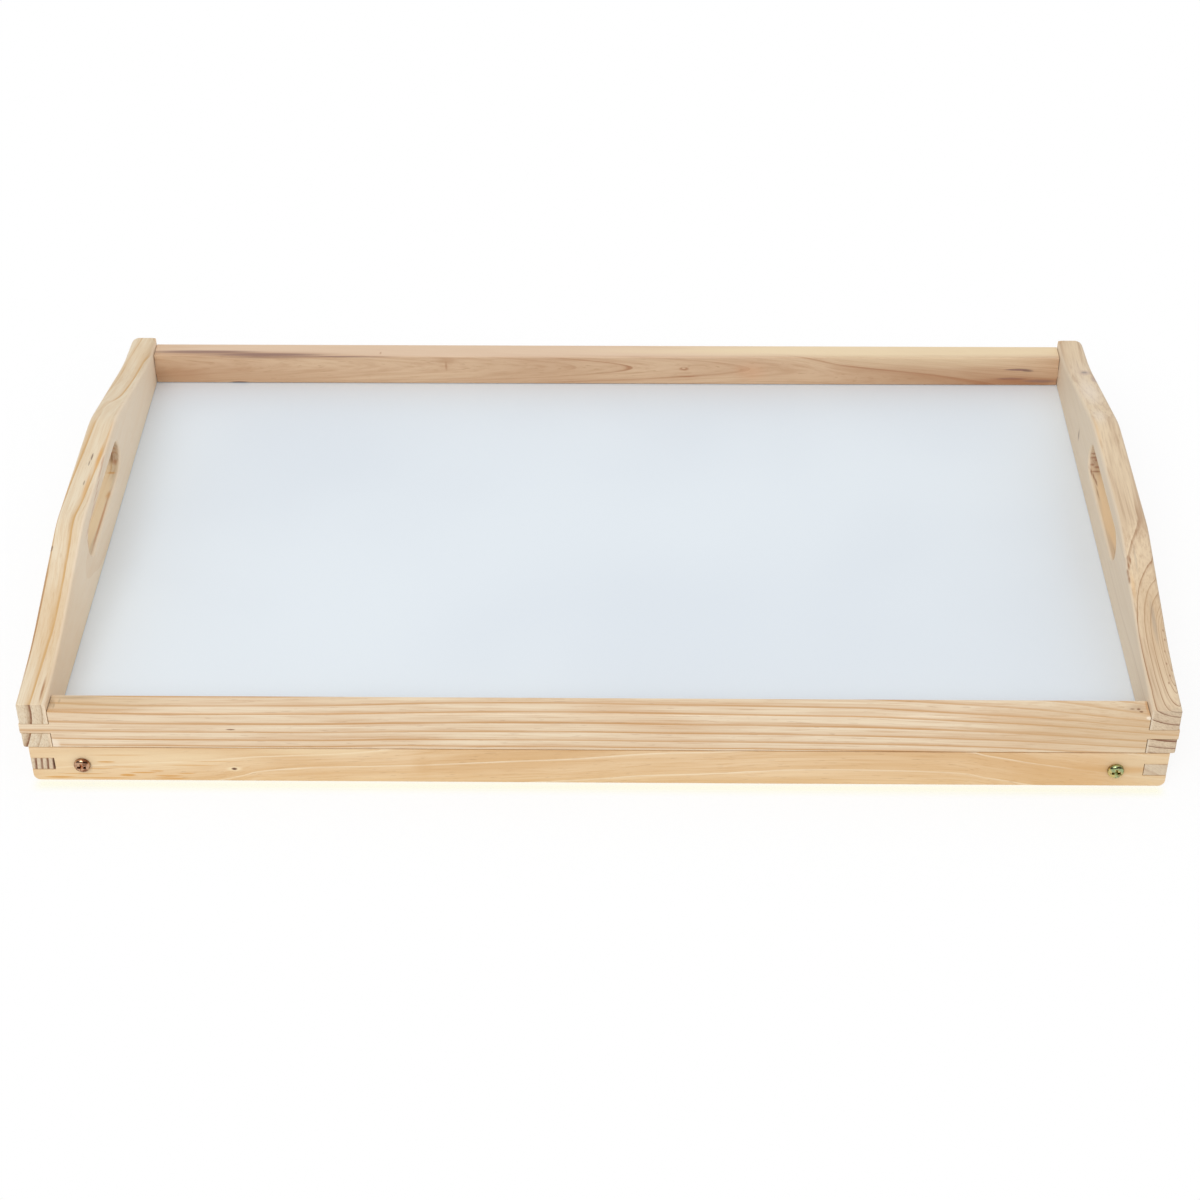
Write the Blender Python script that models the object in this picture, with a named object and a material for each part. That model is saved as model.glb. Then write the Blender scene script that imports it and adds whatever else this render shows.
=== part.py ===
"""Wooden bed tray with folding legs.

Metres, +Z up, +X to the right, the user at -Y. The tray lies as it is carried and stored: its legs are
folded into the base frame, and the underside of that frame is at Z = 0. X = Y = 0 is the tray's middle.

From the top down: an upper frame of two handle boards and two rails, finger jointed at the corners, a thin
laminated panel in a rebate under it, and a base frame of two bars and two cross members that traps the
panel. Two U-shaped leg frames lie inside the base frame and turn on screws through its bars.
"""

import math

import bmesh
import bpy
from mathutils import Matrix, Vector

# The whole tray
tray_length = 0.500
tray_width = 0.300
fit_gap = 0.0003
cut_overrun = 0.002

# Base frame
base_height = 0.0186
base_end_inset = 0.0025
bar_thickness = 0.010
cross_thickness = 0.010
base_corner_radius = 0.003
base_finger_share = 1 / 3

# Upper frame
rail_thickness = 0.0115
rail_height = 0.020
rail_lip = 0.0075
board_thickness = 0.013
board_end_height = 0.024
board_foot_height = 0.0268
board_hump_height = 0.044
board_low_end_length = 0.0355
board_hump_flat_length = 0.086
board_shoulder_radius = 0.060
board_foot_radius = 0.200
board_top_edge_radius = 0.002
board_bottom_edge_radius = 0.003
corner_finger_rise = 0.0079
corner_finger_height = 0.0050

# Hand hole
grip_length = 0.082
grip_height = 0.016
grip_top_margin = 0.009
grip_edge_radius = 0.0015

# Panel
panel_thickness = 0.0032

# Folding leg frames
leg_thickness = 0.012
leg_inset = 0.002
foot_bar_thickness = 0.012
foot_finger_share = 1 / 3
folded_feet_gap = 0.050
heel_gap = 0.001
stop_gap = 0.0003
open_past_upright = math.radians(5)
leg_tip_radius = 0.003

# Pivot screws and washers
pivot_screw_radius = 0.00175
pivot_running_gap = 0.0004
pivot_screw_bite = 0.008
pivot_tip_length = 0.002
pivot_head_radius = 0.0036
pivot_head_rim = 0.0008
pivot_head_height = 0.0024
washer_radius = 0.005
washer_thickness = 0.001

# Screws that hold the base frame to the rails
frame_screw_radius = 0.0015
frame_screw_bite = 0.012
frame_screw_tip_length = 0.002
frame_head_radius = 0.0029
frame_head_sink = 0.0003
frame_head_rim = 0.0003
frame_head_cone = 0.0018
frame_screw_place_shares = (-0.64, 0.0, 0.64)
frame_screw_words = ("left", "middle", "right")

# How finely round shapes are faceted
hole_sides = 20
arc_steps = 6
edge_steps = 3

# Places that follow from the sizes
half_length = tray_length / 2
half_width = tray_width / 2
base_half_length = half_length - base_end_inset
frame_bottom = base_height + fit_gap
panel_top = frame_bottom + panel_thickness
rail_top = frame_bottom + rail_height
board_inner_face = half_length - board_thickness
rail_inner_face = half_width - rail_thickness
rebate_depth = rail_thickness - rail_lip
rebate_top = panel_top + fit_gap
corner_finger_bottom = frame_bottom + corner_finger_rise
corner_finger_top = corner_finger_bottom + corner_finger_height
grip_bottom = frame_bottom + board_hump_height - grip_top_margin - grip_height

bar_inner_face = half_width - bar_thickness
cross_inner_face = base_half_length - cross_thickness
base_finger_height = base_height * base_finger_share

pivot_height = base_height / 2
leg_depth = base_height - 2 * leg_inset
half_depth = leg_depth / 2
heel_room = frame_bottom - pivot_height - stop_gap
heel_length = (heel_room - half_depth * math.sin(open_past_upright)) / math.cos(open_past_upright)
heel_sweep = math.hypot(heel_length, half_depth)
pivot_place = cross_inner_face - heel_gap - heel_sweep
leg_reach = pivot_place - folded_feet_gap / 2
washer_face = bar_inner_face - fit_gap
leg_outer_face = washer_face - washer_thickness - fit_gap
leg_inner_face = leg_outer_face - leg_thickness
foot_finger_height = leg_depth * foot_finger_share

frame_screw_line = half_width - rail_lip / 2
frame_screw_top = frame_bottom + frame_screw_bite


def clear_scene():
    """Start from an empty file."""
    for item in list(bpy.data.objects):
        bpy.data.objects.remove(item, do_unlink=True)


def finish(name, colour, roughness, metallic=0.0):
    """A plain Principled material for one kind of piece."""
    found = bpy.data.materials.get(name)
    if found:
        return found
    made = bpy.data.materials.new(name)
    made.use_nodes = True
    shader = made.node_tree.nodes["Principled BSDF"]
    shader.inputs["Base Color"].default_value = (*colour, 1.0)
    shader.inputs["Roughness"].default_value = roughness
    shader.inputs["Metallic"].default_value = metallic
    return made


def pine_cream():
    return finish("pine_cream", (0.78, 0.64, 0.43), 0.62)


def pine_tan():
    return finish("pine_tan", (0.74, 0.56, 0.37), 0.62)


def pine_brown():
    return finish("pine_brown", (0.56, 0.38, 0.22), 0.62)


def pine_yellow():
    return finish("pine_yellow", (0.77, 0.60, 0.36), 0.62)


def white_laminate():
    return finish("white_laminate", (0.80, 0.83, 0.86), 0.38)


def yellow_zinc():
    return finish("yellow_zinc", (0.72, 0.60, 0.32), 0.30, 1.0)


def plain_zinc():
    return finish("plain_zinc", (0.62, 0.63, 0.64), 0.35, 1.0)


def to_object(name, mesh_builder, material=None):
    """Turn a bmesh into a named object, with its faces pointing out."""
    bmesh.ops.recalc_face_normals(mesh_builder, faces=mesh_builder.faces)
    mesh = bpy.data.meshes.new(name)
    mesh_builder.to_mesh(mesh)
    mesh_builder.free()
    made = bpy.data.objects.new(name, mesh)
    bpy.context.scene.collection.objects.link(made)
    if material:
        mesh.materials.append(material)
    return made


def round_corners(corners):
    """Round a closed outline. Each corner is (u, v, radius); a radius of 0 keeps it sharp."""
    outline = []
    count = len(corners)
    for index, (u, v, radius) in enumerate(corners):
        here = Vector((u, v))
        back = Vector(corners[index - 1][:2]) - here
        ahead = Vector(corners[(index + 1) % count][:2]) - here
        turn = math.pi - back.angle(ahead)
        if radius == 0 or turn == 0:
            outline.append(here)
            continue
        tangent = min(radius * math.tan(turn / 2), back.length / 2, ahead.length / 2)
        fitted = tangent / math.tan(turn / 2)
        bisector = (back.normalized() + ahead.normalized()).normalized()
        centre = here + bisector * (fitted / math.cos(turn / 2))
        start = here + back.normalized() * tangent - centre
        side = 1 if back.cross(ahead) < 0 else -1
        for step in range(arc_steps + 1):
            angle = side * turn * step / arc_steps
            outline.append(centre + Matrix.Rotation(angle, 2) @ start)
    return outline


def prism(outline, place, span):
    """Extrude a closed 2-D outline. place maps (u, v) to 3-D, span is the way and length of the extrusion."""
    builder = bmesh.new()
    corners = [builder.verts.new(place(point)) for point in outline]
    floor = builder.faces.new(corners)
    grown = bmesh.ops.extrude_face_region(builder, geom=[floor])
    raised = [item for item in grown["geom"] if isinstance(item, bmesh.types.BMVert)]
    bmesh.ops.translate(builder, verts=raised, vec=span)
    return builder


def block(low, high):
    """A rectangular solid between two corners."""
    outline = [(low[0], low[1]), (high[0], low[1]), (high[0], high[1]), (low[0], high[1])]
    return prism(outline, lambda point: (point[0], point[1], low[2]), (0, 0, high[2] - low[2]))


def cutter(name, mesh_builder):
    """An object that only cuts others."""
    made = to_object(name, mesh_builder)
    made.hide_render = True
    made.display_type = "WIRE"
    return made


def cut(target, tool):
    """Take the tool's shape out of the target."""
    step = target.modifiers.new("Cut " + tool.name, "BOOLEAN")
    step.operation = "DIFFERENCE"
    step.solver = "EXACT"
    step.object = tool


def turned(profile, sides, hollow=False):
    """A closed round solid about Z from (radius, height) pairs.

    A full solid starts and ends on the axis. A hollow one, such as a washer, has a bore, and its last
    pair joins its first.
    """
    builder = bmesh.new()
    rings = []
    for radius, height in profile:
        if radius == 0:
            rings.append([builder.verts.new((0, 0, height))])
            continue
        ring = []
        for index in range(sides):
            angle = math.tau * index / sides
            ring.append(builder.verts.new((radius * math.cos(angle), radius * math.sin(angle), height)))
        rings.append(ring)
    if hollow:
        rings.append(rings[0])
    for lower, upper in zip(rings, rings[1:]):
        for index in range(sides):
            following = (index + 1) % sides
            around = []
            around += [lower[0]] if len(lower) == 1 else [lower[index], lower[following]]
            around += [upper[0]] if len(upper) == 1 else [upper[following], upper[index]]
            builder.faces.new(around)
    return builder


def moved(builder, matrix):
    """Place a bmesh and hand it on."""
    bmesh.ops.transform(builder, matrix=matrix, verts=builder.verts)
    return builder


def joined(builders):
    """Put several separate solids into one bmesh."""
    whole = bmesh.new()
    for builder in builders:
        scratch = bpy.data.meshes.new("scratch")
        builder.to_mesh(scratch)
        whole.from_mesh(scratch)
        builder.free()
        bpy.data.meshes.remove(scratch)
    return whole


def facing(place, direction):
    """Put a piece made along +Z at a place, with its +Z turned to a direction."""
    turn = Vector(direction).to_track_quat("Z", "Y").to_matrix().to_4x4()
    return Matrix.Translation(place) @ turn


def shade_round(item):
    """Smooth the round faces and keep the crisp edges."""
    item.data.shade_smooth()
    item.data.set_sharp_from_angle(angle=math.radians(35))


def board_outline():
    """A handle board seen from the side: low ends, a long rise, and a flat top over the hand hole."""
    shoulder = board_hump_flat_length / 2
    foot = half_width - board_low_end_length
    end_top = frame_bottom + board_end_height
    foot_top = frame_bottom + board_foot_height
    hump_top = frame_bottom + board_hump_height
    corners = [
        (-half_width, frame_bottom, 0),
        (half_width, frame_bottom, 0),
        (half_width, end_top, 0),
        (foot, foot_top, board_foot_radius),
        (shoulder, hump_top, board_shoulder_radius),
        (-shoulder, hump_top, board_shoulder_radius),
        (-foot, foot_top, board_foot_radius),
        (-half_width, end_top, 0),
    ]
    return round_corners(corners)


def grip_ring(offset):
    """The hand hole's outline, grown all round by an offset."""
    radius = grip_height / 2 + offset
    straight = (grip_length - grip_height) / 2
    middle = grip_bottom + grip_height / 2
    ring = []
    for centre, first in ((straight, -math.pi / 2), (-straight, math.pi / 2)):
        for step in range(hole_sides // 2 + 1):
            angle = first + math.pi * step / (hole_sides // 2)
            ring.append((centre + radius * math.cos(angle), middle + radius * math.sin(angle)))
    return ring


def grip_tool(name):
    """Cutter for the hand hole. It widens near both faces, so the rims come out rounded."""
    stations = [(half_length + cut_overrun, grip_edge_radius)]
    for step in range(edge_steps + 1):
        angle = math.pi / 2 * step / edge_steps
        depth = grip_edge_radius * (1 - math.cos(angle))
        stations.append((half_length - depth, grip_edge_radius * (1 - math.sin(angle))))
    inner_half = [(half_length + board_inner_face - place, offset) for place, offset in reversed(stations)]
    stations += inner_half
    builder = bmesh.new()
    rings = []
    for place, offset in stations:
        rings.append([builder.verts.new((place, u, v)) for u, v in grip_ring(offset)])
    for near, far in zip(rings, rings[1:]):
        for index in range(len(near)):
            following = (index + 1) % len(near)
            builder.faces.new((near[index], near[following], far[following], far[index]))
    builder.faces.new(rings[0])
    builder.faces.new(rings[-1])
    return cutter(name, builder)


def ease_board_edges(builder):
    """Round the long top edges of a handle board, and its outer bottom edge."""
    top_edges = []
    bottom_edges = []
    for edge in builder.edges:
        along = edge.verts[1].co - edge.verts[0].co
        middle = (edge.verts[0].co + edge.verts[1].co) / 2
        if abs(along.x) > 0 or abs(along.y) == 0:
            continue
        if middle.z > frame_bottom + fit_gap:
            top_edges.append(edge)
        elif middle.x > half_length - fit_gap:
            bottom_edges.append(edge)
    bmesh.ops.bevel(builder, geom=top_edges, offset=board_top_edge_radius, segments=edge_steps,
                    profile=0.5, affect="EDGES")
    bottom_edges = [edge for edge in bottom_edges if edge.is_valid]
    bmesh.ops.bevel(builder, geom=bottom_edges, offset=board_bottom_edge_radius, segments=edge_steps,
                    profile=0.5, affect="EDGES")


def mirrored(source, name, axis, material):
    """The same piece on the tray's other side, as its own object with its own mesh."""
    flip = Matrix.Scale(-1, 4, axis)
    shaped = source.evaluated_get(bpy.context.evaluated_depsgraph_get())
    builder = bmesh.new()
    builder.from_mesh(shaped.to_mesh())
    shaped.to_mesh_clear()
    bmesh.ops.transform(builder, matrix=flip, verts=builder.verts)
    made = to_object(name, builder)
    made.data.materials.clear()
    made.data.materials.append(material)
    return made


def handle_boards():
    """The two handle boards: shaped outline, hand hole, corner notches for the rails, panel rebate."""
    builder = prism(board_outline(), lambda point: (board_inner_face, point[0], point[1]),
                    (board_thickness, 0, 0))
    ease_board_edges(builder)
    board = to_object("handle_board_right", builder, pine_tan())
    cut(board, grip_tool("grip_tool"))
    for side, word in ((-1, "front"), (1, "back")):
        near = side * (rail_inner_face - fit_gap)
        far = side * (half_width + cut_overrun)
        low = (board_inner_face - cut_overrun, min(near, far), corner_finger_bottom - fit_gap)
        high = (half_length + cut_overrun, max(near, far), corner_finger_top + fit_gap)
        cut(board, cutter("notch_" + word, block(low, high)))
    reach = rail_inner_face + rebate_depth
    low = (board_inner_face - cut_overrun, -reach, frame_bottom - cut_overrun)
    high = (board_inner_face + rebate_depth, reach, rebate_top)
    cut(board, cutter("board_rebate", block(low, high)))
    shade_round(board)
    left = mirrored(board, "handle_board_left", Vector((1, 0, 0)), pine_cream())
    shade_round(left)


def rail_outline():
    """A rail seen from the front: its middle finger runs on through the handle boards."""
    shoulder = board_inner_face - fit_gap
    half = [
        (shoulder, frame_bottom),
        (shoulder, corner_finger_bottom),
        (half_length, corner_finger_bottom),
        (half_length, corner_finger_top),
        (shoulder, corner_finger_top),
        (shoulder, rail_top),
    ]
    return half + [(-u, v) for u, v in reversed(half)]


def rails():
    """Front and back rail, rebated for the panel and drilled for the screws from below."""
    for side, word, material in ((-1, "front", pine_cream()), (1, "back", pine_brown())):
        builder = prism(rail_outline(), lambda point: (point[0], side * half_width, point[1]),
                        (0, -side * rail_thickness, 0))
        rail = to_object("rail_" + word, builder, material)
        faces = (side * (rail_inner_face - cut_overrun), side * (rail_inner_face + rebate_depth))
        low = (-half_length, min(faces), frame_bottom - cut_overrun)
        high = (half_length, max(faces), rebate_top)
        cut(rail, cutter("rail_rebate_" + word, block(low, high)))
        radius = frame_screw_radius + fit_gap
        drills = []
        for share in frame_screw_place_shares:
            profile = [(0, frame_bottom - cut_overrun), (radius, frame_bottom - cut_overrun),
                       (radius, frame_screw_top), (0, frame_screw_top + frame_screw_tip_length)]
            drills.append(moved(turned(profile, hole_sides),
                                Matrix.Translation((share * half_length, side * frame_screw_line, 0))))
        cut(rail, cutter("rail_drill_" + word, joined(drills)))
        shade_round(rail)


def panel():
    """The laminated sheet, in its rebate with a little room all round."""
    reach_x = board_inner_face + rebate_depth - fit_gap
    reach_y = rail_inner_face + rebate_depth - fit_gap
    to_object("panel", block((-reach_x, -reach_y, frame_bottom), (reach_x, reach_y, panel_top)),
              white_laminate())


def base_bars():
    """Long bars of the base frame, with rounded lower corners and notched for the cross members."""
    corners = [
        (-base_half_length, 0, base_corner_radius),
        (base_half_length, 0, base_corner_radius),
        (base_half_length, base_height, 0),
        (-base_half_length, base_height, 0),
    ]
    for side, word in ((-1, "front"), (1, "back")):
        builder = prism(round_corners(corners), lambda point: (point[0], side * half_width, point[1]),
                        (0, -side * bar_thickness, 0))
        bar = to_object("base_bar_" + word, builder, pine_yellow())
        faces = (side * (bar_inner_face - cut_overrun), side * (half_width + cut_overrun))
        for end, place in ((-1, "left"), (1, "right")):
            ends = (end * (cross_inner_face - fit_gap), end * (base_half_length + cut_overrun))
            low = (min(ends), min(faces), base_finger_height - fit_gap)
            high = (max(ends), max(faces), base_height - base_finger_height + fit_gap)
            cut(bar, cutter("bar_notch_" + word + "_" + place, block(low, high)))
            drill = turned([(0, 0), (pivot_screw_radius + pivot_running_gap, 0),
                            (pivot_screw_radius + pivot_running_gap, bar_thickness + 2 * cut_overrun),
                            (0, bar_thickness + 2 * cut_overrun)], hole_sides)
            start = (end * pivot_place, side * (half_width + cut_overrun), pivot_height)
            cut(bar, cutter("pivot_drill_" + word + "_" + place, moved(drill, facing(start, (0, -side, 0)))))
        drills = []
        for share in frame_screw_place_shares:
            place = Matrix.Translation((share * half_length, side * frame_screw_line, 0))
            drills.append(moved(turned(countersink_profile(), hole_sides), place))
        cut(bar, cutter("countersinks_" + word, joined(drills)))
        shade_round(bar)


def countersink_profile():
    """The hole for a sunk screw, from under the bar to above it."""
    mouth = frame_head_radius + fit_gap
    throat = frame_screw_radius + fit_gap
    rim_top = frame_head_sink + frame_head_rim + fit_gap
    return [(0, -cut_overrun), (mouth, -cut_overrun), (mouth, rim_top), (throat, rim_top + frame_head_cone),
            (throat, base_height + cut_overrun), (0, base_height + cut_overrun)]


def base_crosses():
    """Short members of the base frame. A middle finger at each end shows in the bars."""
    shoulder = bar_inner_face - fit_gap
    finger_low = base_finger_height
    finger_high = base_height - base_finger_height
    half = [
        (shoulder, 0),
        (shoulder, finger_low),
        (half_width, finger_low),
        (half_width, finger_high),
        (shoulder, finger_high),
        (shoulder, base_height),
    ]
    outline = half + [(-u, v) for u, v in reversed(half)]
    for side, word in ((-1, "left"), (1, "right")):
        builder = prism(outline, lambda point: (side * base_half_length, point[0], point[1]),
                        (-side * cross_thickness, 0, 0))
        outer = [edge for edge in builder.edges
                 if all(vert.co.z == 0 and abs(vert.co.x) > cross_inner_face + fit_gap
                        for vert in edge.verts)]
        bmesh.ops.bevel(builder, geom=outer, offset=base_corner_radius, segments=edge_steps,
                        profile=0.5, affect="EDGES")
        shade_round(to_object("base_cross_" + word, builder, pine_yellow()))


def leg_outline():
    """A leg seen from the side, its pivot at (0, 0) and its foot along +u.

    The heel's upper corner is round, so that it turns under the panel. Its lower corner is square, and
    meets the panel when the leg is a little past upright.
    """
    joint = leg_reach - foot_bar_thickness
    finger = foot_finger_height / 2
    return round_corners([
        (-heel_length, -half_depth, 0),
        (leg_reach, -half_depth, leg_tip_radius),
        (leg_reach, -finger - fit_gap, 0),
        (joint - fit_gap, -finger - fit_gap, 0),
        (joint - fit_gap, finger + fit_gap, 0),
        (leg_reach, finger + fit_gap, 0),
        (leg_reach, half_depth, leg_tip_radius),
        (-heel_length, half_depth, half_depth),
    ])


def foot_outline():
    """A foot bar seen along the legs, with a middle finger at each end."""
    shoulder = leg_inner_face - fit_gap
    finger = foot_finger_height / 2
    half = [
        (shoulder, -half_depth),
        (shoulder, -finger),
        (leg_outer_face, -finger),
        (leg_outer_face, finger),
        (shoulder, finger),
        (shoulder, half_depth),
    ]
    return half + [(-u, v) for u, v in reversed(half)]


def leg_frames():
    """Two U-shaped leg frames, folded flat towards the middle. Their origins are on the pivot lines."""
    for end, word in ((-1, "left"), (1, "right")):
        pivot = bpy.data.objects.new("pivot_" + word, None)
        pivot.location = (end * pivot_place, 0, pivot_height)
        bpy.context.scene.collection.objects.link(pivot)
        for side, place in ((-1, "front"), (1, "back")):
            builder = prism(leg_outline(),
                            lambda point: (-end * point[0], side * leg_outer_face, point[1]),
                            (0, -side * leg_thickness, 0))
            leg = to_object("leg_" + word + "_" + place, builder, pine_cream())
            leg.parent = pivot
            drill = turned([(0, -cut_overrun), (pivot_screw_radius + fit_gap, -cut_overrun),
                            (pivot_screw_radius + fit_gap, pivot_screw_bite),
                            (0, pivot_screw_bite + pivot_tip_length)], hole_sides)
            drill = cutter("leg_drill_" + word + "_" + place,
                           moved(drill, facing((0, side * leg_outer_face, 0), (0, -side, 0))))
            drill.parent = pivot
            cut(leg, drill)
            shade_round(leg)
        builder = prism(foot_outline(), lambda point: (-end * leg_reach, point[0], point[1]),
                        (end * foot_bar_thickness, 0, 0))
        foot = to_object("foot_bar_" + word, builder, pine_yellow())
        foot.parent = pivot
        pivot_hardware(pivot, word)


def pivot_screw_profile():
    """A pan-head screw, its head's flat underside at height 0 and its point down."""
    reach = bar_thickness + washer_thickness + pivot_screw_bite + fit_gap
    crown = pivot_head_height - pivot_head_rim
    profile = [(0, -reach), (pivot_screw_radius, pivot_tip_length - reach), (pivot_screw_radius, 0),
               (pivot_head_radius, 0), (pivot_head_radius, pivot_head_rim)]
    for step in range(1, arc_steps):
        angle = math.pi / 2 * step / arc_steps
        profile.append((pivot_head_radius * math.cos(angle), pivot_head_rim + crown * math.sin(angle)))
    profile.append((0, pivot_head_height))
    return profile


def pivot_hardware(pivot, word):
    """The two screws that a leg frame turns on, and a washer between each leg and its bar."""
    hole = pivot_screw_radius + pivot_running_gap
    ring = [(hole, 0), (washer_radius, 0), (washer_radius, washer_thickness), (hole, washer_thickness)]
    for side, place in ((-1, "front"), (1, "back")):
        head = facing((0, side * (half_width + fit_gap), 0), (0, side, 0))
        screw = to_object("pivot_screw_" + word + "_" + place,
                          moved(turned(pivot_screw_profile(), hole_sides), head), yellow_zinc())
        seat = facing((0, side * washer_face, 0), (0, -side, 0))
        washer = to_object("pivot_washer_" + word + "_" + place,
                           moved(turned(ring, hole_sides, hollow=True), seat), plain_zinc())
        for item in (screw, washer):
            item.parent = pivot
            shade_round(item)


def frame_screws():
    """Countersunk screws from below, through the base bars into the rails."""
    head_bottom = frame_head_sink
    rim_top = head_bottom + frame_head_rim
    profile = [(0, head_bottom), (frame_head_radius, head_bottom), (frame_head_radius, rim_top),
               (frame_screw_radius, rim_top + frame_head_cone),
               (frame_screw_radius, frame_screw_top - frame_screw_tip_length), (0, frame_screw_top)]
    for side, word in ((-1, "front"), (1, "back")):
        for share, position in zip(frame_screw_place_shares, frame_screw_words):
            place = Matrix.Translation((share * half_length, side * frame_screw_line, 0))
            screw = to_object("frame_screw_" + word + "_" + position,
                              moved(turned(profile, hole_sides), place), plain_zinc())
            shade_round(screw)


clear_scene()
handle_boards()
rails()
panel()
base_bars()
base_crosses()
leg_frames()
frame_screws()
bpy.context.view_layer.update()
print("bed tray: leg reach", round(leg_reach, 4), "pivot at", round(pivot_place, 4), round(pivot_height, 4))
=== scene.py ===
# %% [markdown]
# # A wooden bed tray, dressed for its portrait
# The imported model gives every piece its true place, so this lesson only gives the pieces their skin. The
# real tray is sanded, unvarnished pine with a white laminated panel and a few zinc-plated screws. Nearly
# all of what the eye reads is the grain of the wood, so most of the cells below are about growth rings.

import math

import bmesh
import bpy
from mathutils import Matrix, Vector


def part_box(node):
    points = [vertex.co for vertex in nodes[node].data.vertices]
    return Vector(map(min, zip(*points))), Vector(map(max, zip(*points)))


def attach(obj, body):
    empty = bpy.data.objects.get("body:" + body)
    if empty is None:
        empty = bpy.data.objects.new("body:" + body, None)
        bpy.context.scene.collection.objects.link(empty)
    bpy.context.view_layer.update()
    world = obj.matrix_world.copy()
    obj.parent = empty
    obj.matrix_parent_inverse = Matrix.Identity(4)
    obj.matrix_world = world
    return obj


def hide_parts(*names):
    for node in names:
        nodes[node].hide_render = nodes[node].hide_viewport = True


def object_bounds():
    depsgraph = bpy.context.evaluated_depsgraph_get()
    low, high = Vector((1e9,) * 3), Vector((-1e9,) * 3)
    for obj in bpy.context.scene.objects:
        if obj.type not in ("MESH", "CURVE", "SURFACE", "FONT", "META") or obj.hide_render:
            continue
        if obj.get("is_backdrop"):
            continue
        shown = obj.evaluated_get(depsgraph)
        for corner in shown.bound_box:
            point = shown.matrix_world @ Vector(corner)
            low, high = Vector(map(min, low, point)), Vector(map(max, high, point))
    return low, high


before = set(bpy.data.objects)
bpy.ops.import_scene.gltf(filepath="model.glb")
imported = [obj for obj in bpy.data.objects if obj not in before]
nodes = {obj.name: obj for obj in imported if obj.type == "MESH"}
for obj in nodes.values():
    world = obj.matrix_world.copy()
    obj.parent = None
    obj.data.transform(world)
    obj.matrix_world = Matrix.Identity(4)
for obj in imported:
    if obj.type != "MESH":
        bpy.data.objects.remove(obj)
cad_low, cad_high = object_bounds()
scene = bpy.context.scene
mm = 0.001
print("pieces in the frame:", len(nodes), "size", [round(side, 4) for side in cad_high - cad_low])

# %% [markdown]
# ## The camera
# The photograph was taken from the front, about 38 degrees above the tray, with a short telephoto lens. The
# place and the three angles were found by fitting the tray's long edges, so the picture lines up with the
# wood. The camera's three axes are built from those angles instead of from Euler angles, because a yaw, a
# pitch and a roll that are applied in the photographer's order stay easy to read.

# %% Camera
camera_place = Vector((16.2, -942.1, 712.3)) * mm
camera_yaw = -0.0184
camera_pitch = 0.6571
camera_roll = -0.0066
lens_length = 72.72
sensor_width = 36.0


def add_camera():
    """A camera that looks along +Y, turned by the yaw, then the pitch, then the roll."""
    ahead = Vector((math.sin(camera_yaw) * math.cos(camera_pitch),
                    math.cos(camera_yaw) * math.cos(camera_pitch), -math.sin(camera_pitch)))
    level = Vector((math.cos(camera_yaw), -math.sin(camera_yaw), 0))
    above = level.cross(ahead)
    right = level * math.cos(camera_roll) + above * math.sin(camera_roll)
    up = above * math.cos(camera_roll) - level * math.sin(camera_roll)
    data = bpy.data.cameras.new("camera")
    data.lens = lens_length
    data.sensor_width = sensor_width
    made = bpy.data.objects.new("camera", data)
    turn = Matrix((right, up, -ahead)).transposed().to_4x4()
    made.matrix_world = Matrix.Translation(camera_place) @ turn
    scene.collection.objects.link(made)
    scene.camera = made
    return made


camera = add_camera()
print("camera at", [round(side, 3) for side in camera.location])

# %% [markdown]
# ## Helpers for node trees
# A material is a small program, and so is a geometry tree. The tree that is being built lies on the bench,
# and these helpers place nodes there and feed their sockets. What leaves a node is wrapped as a flow, which
# Python can add, multiply and compare, so the recipes further down read like sums. A sum works on vectors
# as soon as one of its values is a vector.

# %% Flows
class Bench:
    """The node tree that the helpers write on."""
    tree = None


class Flow:
    """The value that leaves a node. It can stand in a sum like a number."""

    def __init__(self, socket):
        self.socket = socket

    def __add__(self, other):
        return calc("ADD", self, other)

    def __sub__(self, other):
        return calc("SUBTRACT", self, other)

    def __rsub__(self, other):
        return calc("SUBTRACT", other, self)

    def __mul__(self, other):
        return calc("MULTIPLY", self, other)

    def __truediv__(self, other):
        return calc("DIVIDE", self, other)

    def __gt__(self, other):
        return calc("GREATER_THAN", self, other)

    def __lt__(self, other):
        return calc("LESS_THAN", self, other)

    def __abs__(self):
        return calc("ABSOLUTE", self)


def feed(socket, value):
    """Link a flow to a socket, or set the socket's plain value."""
    if isinstance(value, Flow):
        Bench.tree.links.new(value.socket, socket)
    elif value is not None:
        lone = isinstance(value, (int, float)) and socket.type == "VECTOR"
        socket.default_value = (value,) * 3 if lone else value


def place(kind, inputs=(), **settings):
    """Add a node, set its plain properties, and feed its sockets by name or by number."""
    made = Bench.tree.nodes.new(kind)
    for key, value in settings.items():
        setattr(made, key, value)
    for label, value in dict(inputs).items():
        feed(made.inputs[label], value)
    return made


def flow(kind, inputs=(), **settings):
    """Place a node and take its first output."""
    return Flow(place(kind, inputs, **settings).outputs[0])


def flows(made):
    """All outputs of a node by their names."""
    return {socket.name: Flow(socket) for socket in made.outputs}


def is_vector(value):
    return isinstance(value, tuple) or isinstance(value, Flow) and value.socket.type in ("VECTOR", "RGBA")


def calc(operation, *values):
    """One step of a sum, on numbers or on vectors."""
    kind = "ShaderNodeVectorMath" if any(is_vector(value) for value in values) else "ShaderNodeMath"
    made = place(kind, enumerate(values), operation=operation)
    return Flow(made.outputs[1 if operation in ("LENGTH", "DOT_PRODUCT") else 0])


print("a flow can be added, subtracted, multiplied, divided and compared")
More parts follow.
